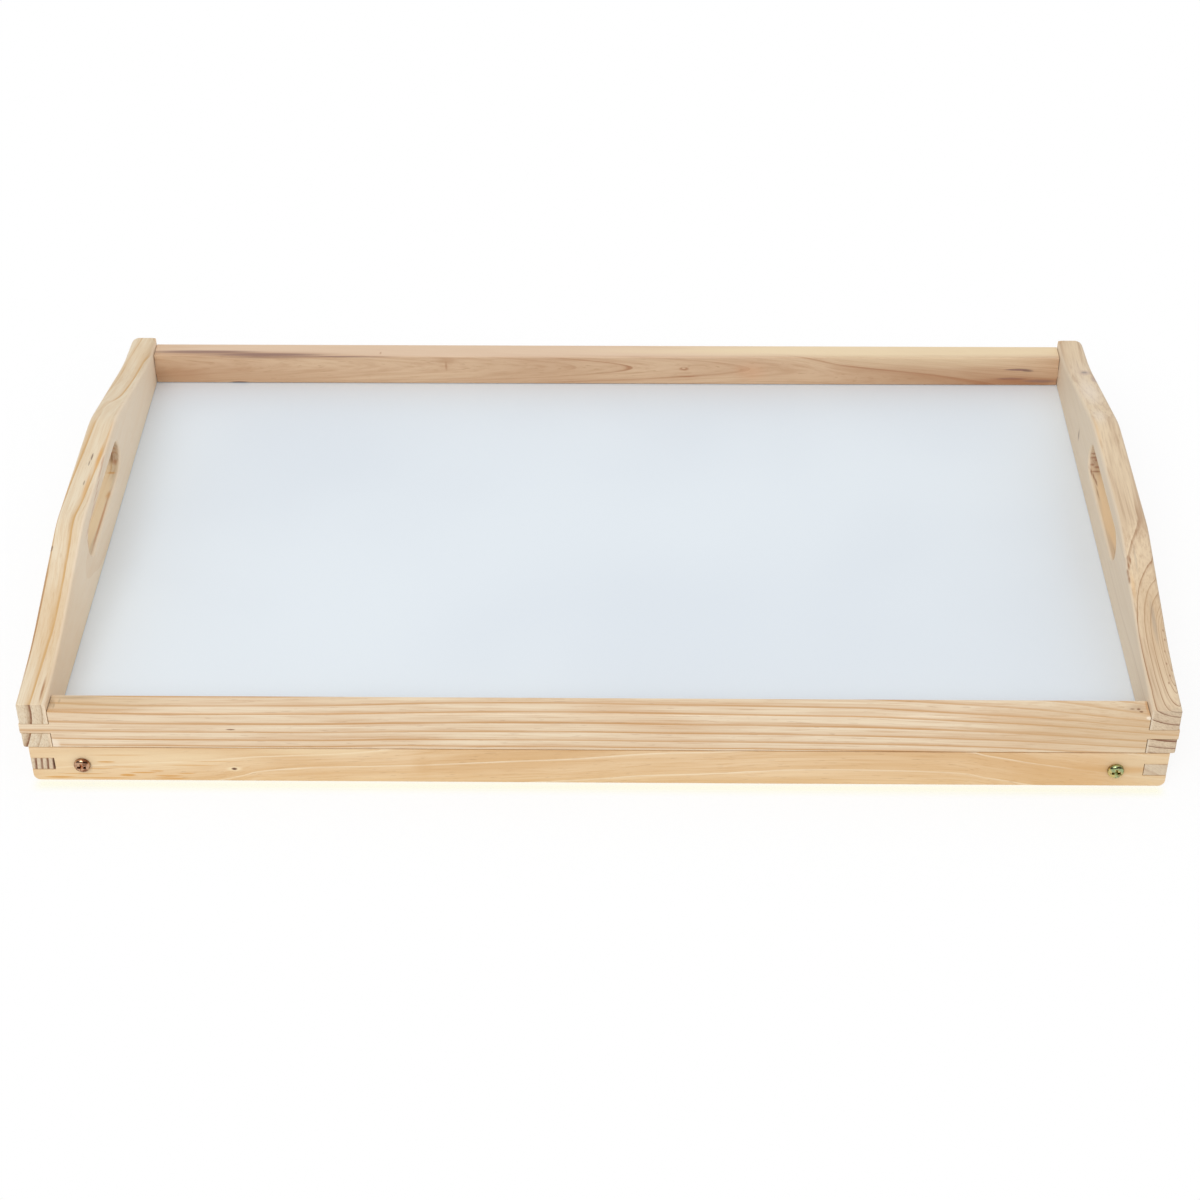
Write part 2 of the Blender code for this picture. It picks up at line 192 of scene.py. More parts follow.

# %% [markdown]
# ## Ranges, curves and colours
# Most of the wood is clamped ranges and drawn curves. A curve takes its points in real units,
# because the place of a growth line is measured in millimetres, and a colour is written as a screen shows
# it and turned into the linear one that shaders work in.

# %% Node helpers
def split(vector):
    return [Flow(socket) for socket in place("ShaderNodeSeparateXYZ", {0: vector}).outputs]


def combine(*values):
    return flow("ShaderNodeCombineXYZ", enumerate(values))


def ramp(value, low, high, new_low=0.0, new_high=1.0, smooth=True):
    """Map a value from one range to another, clamped at both ends."""
    return flow("ShaderNodeMapRange", {"Value": value, "From Min": low, "From Max": high, "To Min": new_low,
                                       "To Max": new_high},
                interpolation_type="SMOOTHSTEP" if smooth else "LINEAR")


def follow(value, points, straight=False):
    """Look a value up on a curve through listed points, given in real units."""
    places, levels = zip(*points)
    first, last, lowest = places[0], places[-1], min(levels)
    span = (max(levels) - lowest) or 1.0
    made = place("ShaderNodeFloatCurve", {"Value": ramp(value, first, last, smooth=False)})
    curve = made.mapping.curves[0]
    while len(curve.points) < len(points):
        curve.points.new(0.5, 0.5)
    for point, (spot, level) in zip(curve.points, points):
        point.location = ((spot - first) / (last - first), (level - lowest) / span)
        point.handle_type = "VECTOR" if straight else "AUTO_CLAMPED"
    made.mapping.update()
    return ramp(Flow(made.outputs[0]), 0.0, 1.0, lowest, lowest + span, smooth=False)


def tint(factor, first, second):
    """Mix two colours."""
    made = place("ShaderNodeMix", {"Factor": factor}, data_type="RGBA", clamp_factor=True)
    sockets = [socket for socket in made.inputs if socket.type == "RGBA"]
    for socket, value in zip(sockets, (first, second)):
        feed(socket, (*value, 1.0) if isinstance(value, tuple) else value)
    return Flow(next(socket for socket in made.outputs if socket.type == "RGBA"))


def noise(vector, scale=1.0, detail=2.0, roughness=0.5, output="Fac"):
    made = place("ShaderNodeTexNoise", {"Vector": vector, "Scale": scale, "Detail": detail,
                                        "Roughness": roughness})
    return Flow(made.outputs[output])


def paint(*channels):
    """A display colour, 0 to 255, as the linear triple that shaders work in."""
    shares = [channel / 255 for channel in channels]
    return tuple(((share + 0.055) / 1.055) ** 2.4 if share > 0.04045 else share / 12.92 for share in shares)


print("helpers ready, mid grey is", [round(channel, 3) for channel in paint(128, 128, 128)])

# %% [markdown]
# ## Groups and materials
# An effect that several materials share, such as rings or fibres, is a node group. It is built once, has
# named sockets, and is placed in each material with other values. The shader itself stays in the material,
# because the export can't read one inside a group.

# %% Groups and materials
socket_kinds = {float: "Float", int: "Int", tuple: "Vector"}


def new_group(name, kind, inputs, outputs):
    """Start a node group. Each socket has a name, and a first value or the kind of value it takes."""
    Bench.tree = bpy.data.node_groups.new(name, kind + "NodeTree")
    for way, sockets in (("INPUT", inputs), ("OUTPUT", outputs)):
        for label, value in sockets.items():
            sort = socket_kinds.get(type(value), value)
            socket = Bench.tree.interface.new_socket(label, in_out=way, socket_type="NodeSocket" + sort)
            if sort is not value:
                socket.default_value = value
    return Bench.tree, flows(place("NodeGroupInput")), place("NodeGroupOutput").inputs


def use_group(group, **values):
    """Place a group. Underscores in the given names stand for spaces in the sockets' names."""
    inputs = {label.replace("_", " "): value for label, value in values.items()}
    return flows(place("ShaderNodeGroup", inputs, node_tree=group))


def new_material(name):
    """Put a new material on the bench, with only its output and a Principled shader."""
    made = bpy.data.materials.new(name)
    made.use_nodes = True
    Bench.tree = made.node_tree
    return made, made.node_tree.nodes["Principled BSDF"]


def finish_surface(shader, colour, roughness, relief, strength, depth):
    """Feed a shader its colour, its roughness and the height of its fine relief."""
    feed(shader.inputs["Base Color"], colour)
    feed(shader.inputs["Roughness"], roughness)
    feed(shader.inputs["Normal"], flow("ShaderNodeBump", {"Strength": strength, "Distance": depth,
                                                          "Height": relief}))


def mix_shaders(target, share, first, second):
    """Feed a mix of two shader nodes to an output."""
    parts = (share, Flow(first.outputs[0]), Flow(second.outputs[0]))
    feed(target, flow("ShaderNodeMixShader", enumerate(parts)))


print("plain sockets of a group:", list(socket_kinds.values()))

# %% [markdown]
# ## Growth rings as a solid
# Each board is cut from a trunk, so one field of rings has to explain its faces and its end grain alike.
# The field here is a number that grows by one from ring to ring. Inside a ring the wood starts pale in
# spring, turns slowly to orange, and ends in a thin dark line of late wood, which stops sharply. So the
# group adds a soft rise and a steep one, and lets both fall together. A painted picture of grain would be
# quicker, but it would not meet at the corners, where the finger joints show both faces of every board.

# %% Ring group
def ring_group():
    tree, given, out = new_group(
        "growth rings", "Shader",
        {"Ring": 0.0, "Soft Start": 0.4, "Line Start": 0.8, "Full": 0.93, "Drop": 0.97, "Soft Share": 0.4,
         "Pale Width": 0.1},
        {"Late": "Float", "Pale": "Float"})
    phase = calc("FRACT", given["Ring"])
    soft = ramp(phase, given["Soft Start"], given["Full"]) * given["Soft Share"]
    line = ramp(phase, given["Line Start"], given["Full"]) * (1.0 - given["Soft Share"])
    feed(out["Late"], (soft + line) * ramp(phase, given["Drop"], 1.0, 1.0, 0.0))
    feed(out["Pale"], ramp(phase, 0.0, given["Pale Width"], 1.0, 0.0))
    return tree


rings = ring_group()
print("group:", rings.name)

# %% [markdown]
# ## Grain space and fibres
# Grain space is the board's own place in millimetres. A slow noise pushes it about across the grain by a
# fraction of a millimetre, as no tree grows like a machine. The fibres are noise that is stretched along
# the grain and follows the rings across it, so streaks bend with the growth lines: a wide cloud, a soft
# streak, a fine one, and short dark dashes where resin canals are cut open.

# %% Grain and fibre groups
slow_along = 0.010
slow_across = 0.045
side_share = 0.6
seed_shift = (37.0, 11.0, 23.0)
fibre_looks = {"Cloud": ((0.012, 0.10, 0.07), 2.0, 0.5), "Streak": ((0.016, 0.70, 0.45), 3.0, 0.6),
               "Fine": ((0.035, 1.5, 1.1), 3.0, 0.6)}
dash_stretch = (0.12, 2.0, 1.6)
dash_band = (0.68, 0.74)


def grain_group():
    tree, given, out = new_group(
        "grain space", "Shader", {"Position": "Vector", "Grain": (1.0, 0.0, 0.0), "Wander": 0.5, "Seed": 0.0},
        {"Point": "Vector", "Moved": "Vector", "Along": "Float"})
    point = given["Position"] * (1 / mm)
    stretch = given["Grain"] * (slow_along - slow_across) + slow_across
    push = noise(point * stretch + given["Seed"], detail=3.0, output="Color") - 0.5
    feed(out["Point"], point)
    feed(out["Moved"], point + push * (1.0 - given["Grain"]) * given["Wander"])
    feed(out["Along"], calc("DOT_PRODUCT", point, given["Grain"]))
    return tree


def fibre_group():
    tree, given, out = new_group(
        "wood fibres", "Shader", {"Point": "Vector", "Grain": (1.0, 0.0, 0.0), "Span": 0.0, "Seed": 0.0},
        {"Cloud": "Float", "Streak": "Float", "Fine": "Float", "Dash": "Float"})
    x, y, z = split(given["Point"])
    lies_x, lies_y, lies_z = split(given["Grain"])
    side = x * lies_y + y * lies_x + z * side_share
    along = calc("DOT_PRODUCT", given["Point"], given["Grain"])
    bundle = combine(along, given["Span"], side) + given["Seed"] * seed_shift
    for label, (stretch, detail, roughness) in fibre_looks.items():
        feed(out[label], noise(bundle * stretch, 1.0, detail, roughness))
    feed(out["Dash"], ramp(noise(bundle * dash_stretch, detail=1.0), *dash_band))
    return tree


grain_space = grain_group()
fibres = fibre_group()
print("groups:", grain_space.name, "and", fibres.name)

# %% [markdown]
# ## Marks and end grain
# Knots, resin streaks, greyish patches and the dark flecks that the photograph shows are all the same thing
# to a shader: an ellipsoid somewhere in the board, with a soft and slightly ragged edge. One group makes the
# mask, and every mark gives it a centre and a reach in millimetres. End grain is found from the surface's
# own direction: a face that looks along the grain shows the open ends of the fibres, where rings turn dark
# brown and the rest greyish.

# %% Mark and end grain groups
ragged_look = (1.7, 3.0, 0.6)
end_band = (0.45, 0.9)


def mark_group():
    tree, given, out = new_group(
        "mark", "Shader",
        {"Point": "Vector", "Centre": "Vector", "Reach": (1.0, 1.0, 1.0), "Softness": 0.5, "Ragged": 0.5},
        {"Mask": "Float"})
    scaled = (given["Point"] - given["Centre"]) / given["Reach"]
    distance = calc("LENGTH", scaled) + (noise(scaled, *ragged_look) - 0.5) * given["Ragged"]
    feed(out["Mask"], ramp(distance, 1.0 - given["Softness"], 1.0, 1.0, 0.0))
    return tree


def end_grain_group():
    tree, given, out = new_group("end grain", "Shader", {"Normal": "Vector", "Grain": (1.0, 0.0, 0.0)},
                                 {"End": "Float"})
    feed(out["End"], ramp(abs(calc("DOT_PRODUCT", given["Normal"], given["Grain"])), *end_band))
    return tree


marks = mark_group()
end_grain = end_grain_group()
print("groups:", marks.name, "and", end_grain.name)

# %% [markdown]
# ## The pine recipe
# One function makes every board's wood. A board hands it a field, which measures in millimetres how far a
# point lies across the rings, and the few millimetres on which a ring ends. Those lists are short and
# chosen from the photograph: a growth line here, a wider gap there. Colours, fibres, end grain and
# marks are shared by all.

# %% Pine
grain_x = (1.0, 0.0, 0.0)
grain_y = (0.0, 1.0, 0.0)
end_line_tone = paint(128, 84, 58)
end_tone = paint(214, 196, 170)
dash_tone = paint(162, 116, 76)
deep_shares = (0.90, 0.82, 0.72)
late_breaks = (0.3, 0.6, 0.7, 1.0)
cloud_band = (0.38, 0.72, 0.0)
streak_band = (0.42, 0.72, 0.0)
fine_band = (0.45, 0.80, 0.0)
pore_look = (0.42, 0.68, 0.0, 0.18)
pine_gloss = (0.3, 0.7, 0.55, 0.68)
fibre_relief = 0.6
ring_relief = 0.5
relief_strength = 0.35
relief_depth = 0.08 * mm
even_shape = (0.4, 0.74, 0.89, 0.975, 0.4)
wide_shape = (0.2, 0.6, 0.93, 0.975, 0.7)


def ring_ledger(lines):
    """Number the ring ends, and carry the first and the last ring on past them."""
    ends = (2 * lines[0] - lines[1], *lines, 2 * lines[-1] - lines[-2])
    return [(end, number - 1.0) for number, end in enumerate(ends)]


def pine(name, grain, field, lines, early, late, deep=None, bold=None, fade=None, shape=even_shape,
         wander=0.5, seed=0, cloud=0.3, streak=0.3, fine=0.45, dash=0.4, pale=None, end_lines=0.6,
         end_amount=0.3, spots=()):
    """Sawn pine whose grain runs along X or Y.

    bold gives the strength of the late wood over the field, fade over the length, and pale is a colour for
    the start of each ring. shape is where in a ring its soft rise and its line start, where both are full,
    where they drop, and the soft part's share. A spot is a centre and a reach in millimetres, x, y and z
    each, then its colour, its amount and its softness.
    """
    made, shader = new_material(name)
    space = flows(place("ShaderNodeTexCoord"))
    wood = use_group(grain_space, Position=space["Object"], Grain=grain, Wander=wander, Seed=seed)
    span = field(wood)
    ring = use_group(rings, Ring=follow(span, ring_ledger(lines), straight=True), Soft_Start=shape[0],
                     Line_Start=shape[1], Full=shape[2], Drop=shape[3], Soft_Share=shape[4])
    fibre = use_group(fibres, Point=wood["Point"], Grain=grain, Span=span, Seed=seed)
    amount = ring["Late"] * ramp(fibre["Streak"], *late_breaks)
    for value, curve in ((span, bold), (wood["Along"], fade)):
        if curve:
            amount = amount * follow(value, curve)
    deep = deep or tuple(channel * share for channel, share in zip(late, deep_shares))
    cut = use_group(end_grain, Normal=space["Normal"], Grain=grain)["End"]
    layers = [(ramp(fibre["Cloud"], *cloud_band, cloud), late), (ring["Pale"], pale),
              (ramp(fibre["Streak"], *streak_band, streak), late), (amount, late),
              (ramp(fibre["Fine"], *fine_band, fine), deep), (fibre["Dash"] * dash, dash_tone),
              (cut * end_amount, end_tone), (cut * ramp(fibre["Fine"], *pore_look), end_line_tone),
              (cut * amount * end_lines, end_line_tone)]
    for *spot, stain, strength, softness in spots:
        mark = use_group(marks, Point=wood["Point"], Centre=tuple(spot[:3]), Reach=tuple(spot[3:]),
                         Softness=softness)
        layers.append((mark["Mask"] * strength, stain))
    colour = early
    for factor, tone in layers:
        if tone:
            colour = tint(factor, colour, tone)
    finish_surface(shader, colour, ramp(fibre["Streak"], *pine_gloss),
                   fibre["Fine"] * fibre_relief + amount * ring_relief, relief_strength, relief_depth)
    return made


def corners_of(node):
    """A node's lowest and highest corner, in millimetres."""
    return [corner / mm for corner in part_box(node)]


print("pine recipe ready")

# %% [markdown]
# ## How each board was sawn
# Four kinds of field cover the whole tray. Most boards were sawn so that their rings lean across them as
# nearly flat sheets, which drift a little on the way. The left handle board's rings bulge, and the right
# one's run round the pith, which lies inside the board. The back rail was sawn near the outside of its
# trunk, so its face cuts the rings as long tongues.

# %% Fields
no_drift = ((-260, 0), (260, 0))


def leaning(lean, zero, drift=no_drift, far_drift=None, between=(0.0, 1.0)):
    """Flat rings. lean points across them, and drift is how far they move along the board.

    With a far drift, the rings fan out: one drift holds at the first of two distances, the other at the
    second.
    """
    def field(wood):
        across = calc("DOT_PRODUCT", wood["Moved"] - zero, lean)
        moved = follow(wood["Along"], drift)
        if far_drift:
            moved = ramp(across, *between, moved, follow(wood["Along"], far_drift), smooth=False)
        return across - moved
    return field


def bulging(zero, height, span, drift, spread, between):
    """Rings that swell towards +X at a height. Between two distances a spread sets in, which moves them."""
    def field(wood):
        x, y, z = split(wood["Moved"])
        rise = z - height
        near = x - zero + rise * rise / span + follow(wood["Along"], drift)
        return near + ramp(near, *between, 0.0, follow(wood["Along"], spread), smooth=False)
    return field


def round_pith(pith_x, pith_heights, squash):
    """Rings round a pith that runs along Y, pressed flat where the squash is more than one."""
    def field(wood):
        x, y, z = split(wood["Moved"])
        height = follow(wood["Along"], pith_heights)
        press = follow(wood["Along"], squash)
        return calc("LENGTH", combine((x - pith_x) / press, 0.0, (z - height) * press))
    return field


def tongues(face, taper, width, heights):
    """Rings that the face at Y = face cuts as tongues which point along +X."""
    def field(wood):
        x, y, z = split(wood["Moved"])
        rise = z - follow(wood["Along"], heights)
        return (wood["Along"] + rise * rise / width) * taper + (y - face)
    return field


print("fields ready")

# %% [markdown]
# ## The front rail
# This board shows the clearest grain: nine orange lines that run nearly level along the face and the top,
# and crowd together and dive towards the right, where a knot was close. The lines are ring ends at the
# distances that the photograph shows, measured from the rail's upper front edge.

# %% Front rail wood
rail_low, rail_high = corners_of("rail_front")
rail_edge = (0, rail_low.y, rail_high.z)
rail_lean = (0, -0.6, -0.8)
rail_lines = (-16, -12, -8, -4.35, -0.75, 4.1, 8.1, 11.85, 14.8, 16.7, 19.5)
rail_top_drift = ((-250, 0.7), (-232, 1.1), (-211, 1.8), (-190, 2), (-168, 1.9), (-124, 1.6), (-102, 1.2),
                  (-81, 0.6), (-59, 0.2), (-16, 0), (27, 0.4), (70, 0.8), (92, 1.1), (113, 1.4), (135, 2.3),
                  (157, 3.5), (178, 4.6), (199, 6.2), (221, 9), (250, 13))
rail_foot_drift = ((-250, 0.3), (-211, 0.4), (-168, 0.6), (-124, 0.7), (-102, 0.3), (-81, 0), (-16, 0),
                   (27, 0.3), (70, 0.5), (113, 0.9), (135, 1.2), (157, 1.7), (178, 2.4), (199, 3.5),
                   (221, 4.6), (250, 6.5))
cream = paint(239, 219, 189)
cream_late = paint(203, 154, 102)
dull_tan = paint(204, 170, 124)
# Greyish brown, for marks on the rail's top next to the left board.
left_corner_tone = paint(158, 134, 104)
knot_tone = paint(132, 88, 58)
filler_tone = paint(247, 230, 208)


def on_face(y, rows):
    """Marks on a face that looks along Y. The rows leave that place out."""
    return tuple((x, y, z, *rest) for x, z, *rest in rows)


def on_top(z, rows):
    """Marks on a face that looks up. The rows leave its height out."""
    return tuple((x, y, z, *rest) for x, y, *rest in rows)


front_rail_wood = pine(
    "pine_front_rail", grain_x, leaning(rail_lean, rail_edge, rail_top_drift, rail_foot_drift, (-2, 14.5)),
    rail_lines, cream, cream_late,
    bold=((-16, 0.6), (-5, 0.85), (-1.5, 1), (3, 0.95), (10, 0.9), (13.5, 1), (20, 0.8)),
    fade=((-250, 0.95), (100, 1), (150, 0.95), (250, 0.9)),
    wander=0.5, seed=1, dash=0.35, fine=0.5,
    spots=((235, -148, 30, 95, 20, 26, dull_tan, 0.45, 0.9),) + on_top(rail_high.z, (
        (-225, -144, 60, 9, 2.5, dull_tan, 0.5, 0.9), (-218, -148.3, 40, 1.6, 1.2, cream_late, 0.6, 0.8),
        # Greyish brown marks on the rail's top, close against the left board's face.
        (-236, -144, 2.4, 5, 1.5, left_corner_tone, 0.5, 0.9),
        (-234.4, -145.8, 0.7, 3, 1.5, left_corner_tone, 0.5, 0.9),
        (-232.6, -142.6, 0.8, 2.4, 1.5, left_corner_tone, 0.4, 0.9),
        (-226, -140.2, 16, 1.8, 1, left_corner_tone, 0.4, 0.9), (232, -143.6, 7, 4, 1.5, knot_tone, 0.25, 0.9),
        (232.3, -144.3, 1.1, 0.9, 1, knot_tone, 0.9, 0.7), (233.2, -146, 1.2, 0.8, 1, knot_tone, 0.9, 0.7),
        (229.6, -144.2, 1.5, 0.8, 1, knot_tone, 0.6, 0.8), (236.2, -142.5, 1, 7, 1.5, cream_late, 0.7, 0.8),
    )) + on_face(rail_low.y, (
        (-158.3, 29.5, 2.6, 2, 0.45, knot_tone, 0.9, 0.6),
        (236.2, 38.6, 1.8, 1.6, 1.2, filler_tone, 0.8, 0.5), (-236, 20.5, 3.5, 2, 4, filler_tone, 0.7, 0.6),
    )))
print("material:", front_rail_wood.name)

# %% [markdown]
# ## The base bars
# The front bar was sawn flat to its rings, so they come out as wide tan bands with a thin pale line where
# each spring begins. The line wanders up and down the bar like a contour on a map. The back bar is its
# neighbour from the same plank, with its own drift.

# %% Base bar wood
bar_low = corners_of("base_bar_front")[0]
bar_lines = (-25, -12.5, 0, 12.5, 25)
bar_right = ((-7.5, -14.3), (27, -17.5), (44.5, -18.2), (98, -21), (152.5, -19.8), (170, -16.8),
             (192, -12.4), (223, -7.4), (245, -4.3))
bar_contour = ((-250, 6), (-170, 0), (-157, -2.7), (-147, -5.7), (-130, -7.6), (-112, -8.9), (-86, -10),
               (-42, -12.2), *bar_right)
bar_high_contour = ((-250, 5), (-190, 2.2), (-172, 0.9), (-143, -1), (-105, -4.4), (-86, -7), (-42, -12),
                    *bar_right)
bar_tan = paint(236, 205, 164)
bar_late = paint(216, 172, 118)
bar_pale = paint(245, 224, 192)
fleck_tone = paint(212, 152, 74)
pin_tone = paint(92, 56, 36)
bar_cream = paint(243, 219, 179)
bar_end = paint(230, 206, 168)
fleck_depth = 1.5
bar_flecks = ((-210, 14.4, 20, 0.7, 0.35, 0.8), (-219, 6.6, 10, 0.5, 0.5, 0.7),
              (-205, 7.6, 12, 0.5, 0.45, 0.7), (-218, 1.2, 18, 0.6, 0.6, 0.6),
              (-226, 3.6, 14, 0.5, 0.6, 0.7), (-236, 1.6, 9, 0.8, 0.8, 0.7),
              (-214.7, 10.5, 5, 0.45, 0.9, 0.5), (-206, 2.9, 4.5, 0.8, 0.9, 0.5),
              (-199, 4.4, 7, 0.5, 0.8, 0.5), (-193, 5.4, 4, 0.4, 0.8, 0.5), (-188, 2.6, 8, 0.7, 0.7, 0.6),
              (-186.8, 1.2, 10, 0.5, 0.8, 0.6), (-180, 4, 5, 0.4, 0.7, 0.6),
              (-178, 8.8, 16, 0.6, 0.5, 0.7), (-170, 11.2, 20, 0.5, 0.4, 0.7))

front_bar_wood = pine(
    "pine_front_bar", grain_x,
    leaning((0, 0.7, -1), (0, bar_low.y, 0), bar_high_contour, bar_contour, (-16, -8)), bar_lines,
    bar_tan, bar_late, shape=wide_shape, bold=((-26, 0.35), (26, 0.35)), wander=0.7, seed=2,
    cloud=0.6, fine=0.55, pale=bar_pale, end_lines=0.5,
    spots=on_face(bar_low.y, (
        (-200, 13, 75, 6, 9, bar_cream, 0.6, 0.8), (-232, 6, 22, 6, 14, bar_cream, 0.4, 0.8),
        (222, 8, 60, 6, 18, bar_late, 0.5, 0.9), (150, 8, 80, 6, 16, bar_late, 0.25, 0.9),
        (240, 10, 26, 6, 16, bar_end, 0.6, 0.8), (226, 9.3, 30, 2.5, 3.2, bar_late, 0.8, 0.8),
        (-120, 17.5, 45, 5, 5, bar_cream, 0.6, 0.8),
    ) + tuple((x, z, long, fleck_depth, high, fleck_tone, *rest)
              for x, z, long, high, *rest in bar_flecks) + (
        (-158.8, 6.9, 4.5, 2.5, 1.8, bar_cream, 0.9, 0.6), (-158.8, 6.9, 1.6, 2, 0.9, knot_tone, 0.9, 0.5),
        (-158.9, 6.8, 0.9, 2, 0.55, pin_tone, 1, 0.4), (-76, 9, 7, 2, 9, bar_late, 0.35, 0.9),
    )))
back_bar_wood = pine(
    "pine_back_bar", grain_x, leaning((0, -0.7, -1), (0, -bar_low.y, 0),
                                      ((-250, -14), (-90, -8), (40, -3), (250, -16))),
    bar_lines, bar_tan, bar_late, shape=wide_shape, bold=((-26, 0.4), (26, 0.4)), wander=1.2,
    seed=3, cloud=0.6, pale=bar_pale,
    spots=((96, -bar_low.y, 11, 3, 2.5, 1.8, knot_tone, 0.8, 0.6),))
print("materials:", front_bar_wood.name, back_bar_wood.name)

# %% [markdown]
# ## Marks round the hand holes
# A hot cutter left brown scorch marks across the round back ends of both hand holes, and thin dark lines
# follow their rims. One mark is straight, so a bent line is a row of short ones. The scorch marks are placed
# by their angle round the end of the slot, as the cutter went round it.

# %% Hand hole marks
left_low, left_high = corners_of("handle_board_left")
slot_end = 33
slot_round = 8
slot_cover = 9
slot_middle = left_high.z - slot_cover - slot_round
stroke_softness = 0.8
scorch_sway = 1.6
scorch_length = 2.6
scorch_width = 0.85


def stroke(points, reach, colour, amount):
    """Marks in a row that read as one bent line."""
    return tuple((*point, *reach, colour, amount, stroke_softness) for point in points)


def scorched(x, colour, turns, amount):
    """Thin brown strokes across the round back end of a hand hole, at these angles above its middle.

    They differ a little in place and length, so that they don't look ruled.
    """
    strokes = ()
    for number, turn in enumerate(turns):
        y = slot_end + slot_round * math.cos(math.radians(turn))
        z = slot_middle + slot_round * math.sin(math.radians(turn))
        beside = scorch_sway * math.sin(2.4 * number)
        long = scorch_length + math.cos(1.7 * number)
        strokes += stroke([(x + beside, y, z)], (long, scorch_width, scorch_width), colour, amount)
    return strokes


print("the hand holes' middle is", round(slot_middle, 1), "mm above the ground")

# %% [markdown]
# ## The left handle board
# The left board is pale, with one strong orange line that runs its whole length near the middle of the top
# edge. That line is the end of one ring in a field that bulges, so the end grain shows it too, in its right
# place.

# %% Left board wood
left_lines = (-13, -7.3, 0.7, 8, 12.8, 18, 23)
left_drift = ((-150, 1), (-126, -0.2), (-98, -1.7), (-72, -3.4), (-46, -5), (-29, -5.6), (6, -7.3),
              (30, -8.3), (46, -8.6), (58, -7.5), (69, -10.2), (80, -11.3), (116, -10.9), (133, -12),
              (150, -13.8))
left_spread = ((-150, 0.2), (-122, 0.3), (-99, -0.4), (-65, -0.5), (-45, -0.6), (-34, -1.2), (-22, -1.7),
               (3, -1.8), (15, -2.2), (41, -2.6), (60, -2.6), (80, -0.6), (90, 0), (150, 0))
spread_between = (2, 6.5)
bulge_height = 40
bulge_span = 96
left_pale = paint(234, 217, 189)
left_late = paint(208, 166, 110)
left_plain = paint(252, 231, 204)
left_warm = paint(234, 204, 167)
amber_tone = paint(222, 166, 92)
burn_tone = paint(170, 122, 80)
burn_line = paint(176, 104, 56)
rim_tone = paint(206, 150, 108)
# The hand hole's own sawn tone, lightened as painted light against the shade inside the hole.
grip_cream_and_painted_light = paint(255, 230, 190)

left_board_wood = pine(
    "pine_left_board", grain_y,
    bulging(left_low.x, bulge_height, bulge_span, left_drift, left_spread, spread_between),
    left_lines, left_pale, left_late,
    bold=((-13, 0.5), (-7, 0.6), (0, 0.9), (7.5, 1), (10, 0.5), (13, 0.35), (23, 0.3)),
    fade=((-150, 1), (36, 1), (46, 0.4), (62, 0.4), (72, 1), (150, 1)),
    shape=(0.5, 0.82, 0.93, 0.985, 0.5), wander=0.4, seed=4, cloud=0.2, streak=0.25, fine=0.4, dash=0.25,
    end_lines=0.95, end_amount=0.2,
    spots=(
        (-243.5, -98, 50, 16, 50, 14, left_late, 0.35, 0.9),
        (-249.2, -100, 52, 0.6, 66, 16, burn_tone, 0.8, 0.6),
        (-237.6, 30, left_high.z, 1.3, 16, 2, amber_tone, 0.75, 0.9),
        (-239.2, 8, left_high.z, 1.5, 16, 2, amber_tone, 0.75, 0.9),
        (-240.9, -16, left_high.z, 1.2, 16, 2, amber_tone, 0.5, 0.9),
        (-239.5, -139, left_low.z + 24, 0.8, 12, 2, burn_tone, 0.9, 0.6),
        (-242.6, 9.2, left_high.z, 0.6, 4, 1.5, pin_tone, 0.7, 0.6),
        (-243, 4, left_high.z, 0.5, 3, 1.5, pin_tone, 0.5, 0.6),
        (-242.5, -12.4, left_high.z, 0.5, 2.6, 1.5, pin_tone, 0.5, 0.6),
        (-249.5, -58.7, 59, 1.2, 2.5, 2, pin_tone, 0.6, 0.6),
        # Inside the left hand hole: the walls' tone, lightened as painted light against the hole's shade.
        (-243.5, 0, 42, 6.3, 44, 13, grip_cream_and_painted_light, 0.85, 0.3),
        (-241, 41, 45, 6, 5, 9, burn_tone, 0.35, 0.8),
        (-239.6, 38.5, 40, 2, 3.2, 1.8, burn_line, 0.6, 0.9),
        (-240.6, 32, 38, 3, 1.4, 1.5, amber_tone, 0.7, 0.8),
        (-238.6, 13, 38, 2, 5, 1.5, amber_tone, 0.7, 0.9),
        (-236.6, 0, 36, 1.9, 300, 120, left_plain, 0.75, 0.5),
        (-236.6, -120, 36, 1.9, 80, 120, left_warm, 0.7, 0.9),
        (-238.6, -8, 37.9, 0.8, 34, 1, rim_tone, 0.8, 0.8),
        (-237, -42, 48.5, 1.2, 1.2, 6, rim_tone, 0.6, 0.8),
    ) + scorched(-241.5, burn_line, (-14, 4, 20), 0.35)
    + stroke(((-237.4, 7, 61.8), (-237, -1, 61.2), (-237, -9, 59.5), (-237, -16, 57.9),
              (-237, -23, 56.3), (-237, -31, 55.3), (-237, -37, 54.2)), (1.2, 8.5, 1.1), rim_tone,
             0.5))
print("material:", left_board_wood.name)

# %% [markdown]
# ## The right handle board
# The right board holds the pith of a branch at its front end: dark brown ovals where the sloping edge cuts
# the rings, and round arcs on the end grain below. Rings round one line give both at once, and leaning
# sheets could not. Further back they fade, because the wood is plainer there.

# %% Right board wood
right_low, right_high = corners_of("handle_board_right")
right_lines = (2.5, 3.6, 4.7, 5.6, 7.9, 10.4, 13.4, 18.8, 30.4, 35, 39)
pith_place = 251
right_pith = ((-150, 50), (-138, 48.5), (-127, 47.6), (-105, 47.6), (-90, 46.6), (-82, 45.9), (-75, 45.3),
              (-68, 44.8), (-40, 44.8), (150, 30))
right_squash = ((-150, 1.22), (-140, 1.04), (-130, 1), (150, 1))
right_tan = paint(230, 207, 174)
right_late = paint(150, 102, 64)
right_plain = paint(229, 211, 186)
swirl_tone = paint(243, 228, 210)
mauve_tone = paint(182, 156, 146)
grey_tone = paint(150, 140, 130)
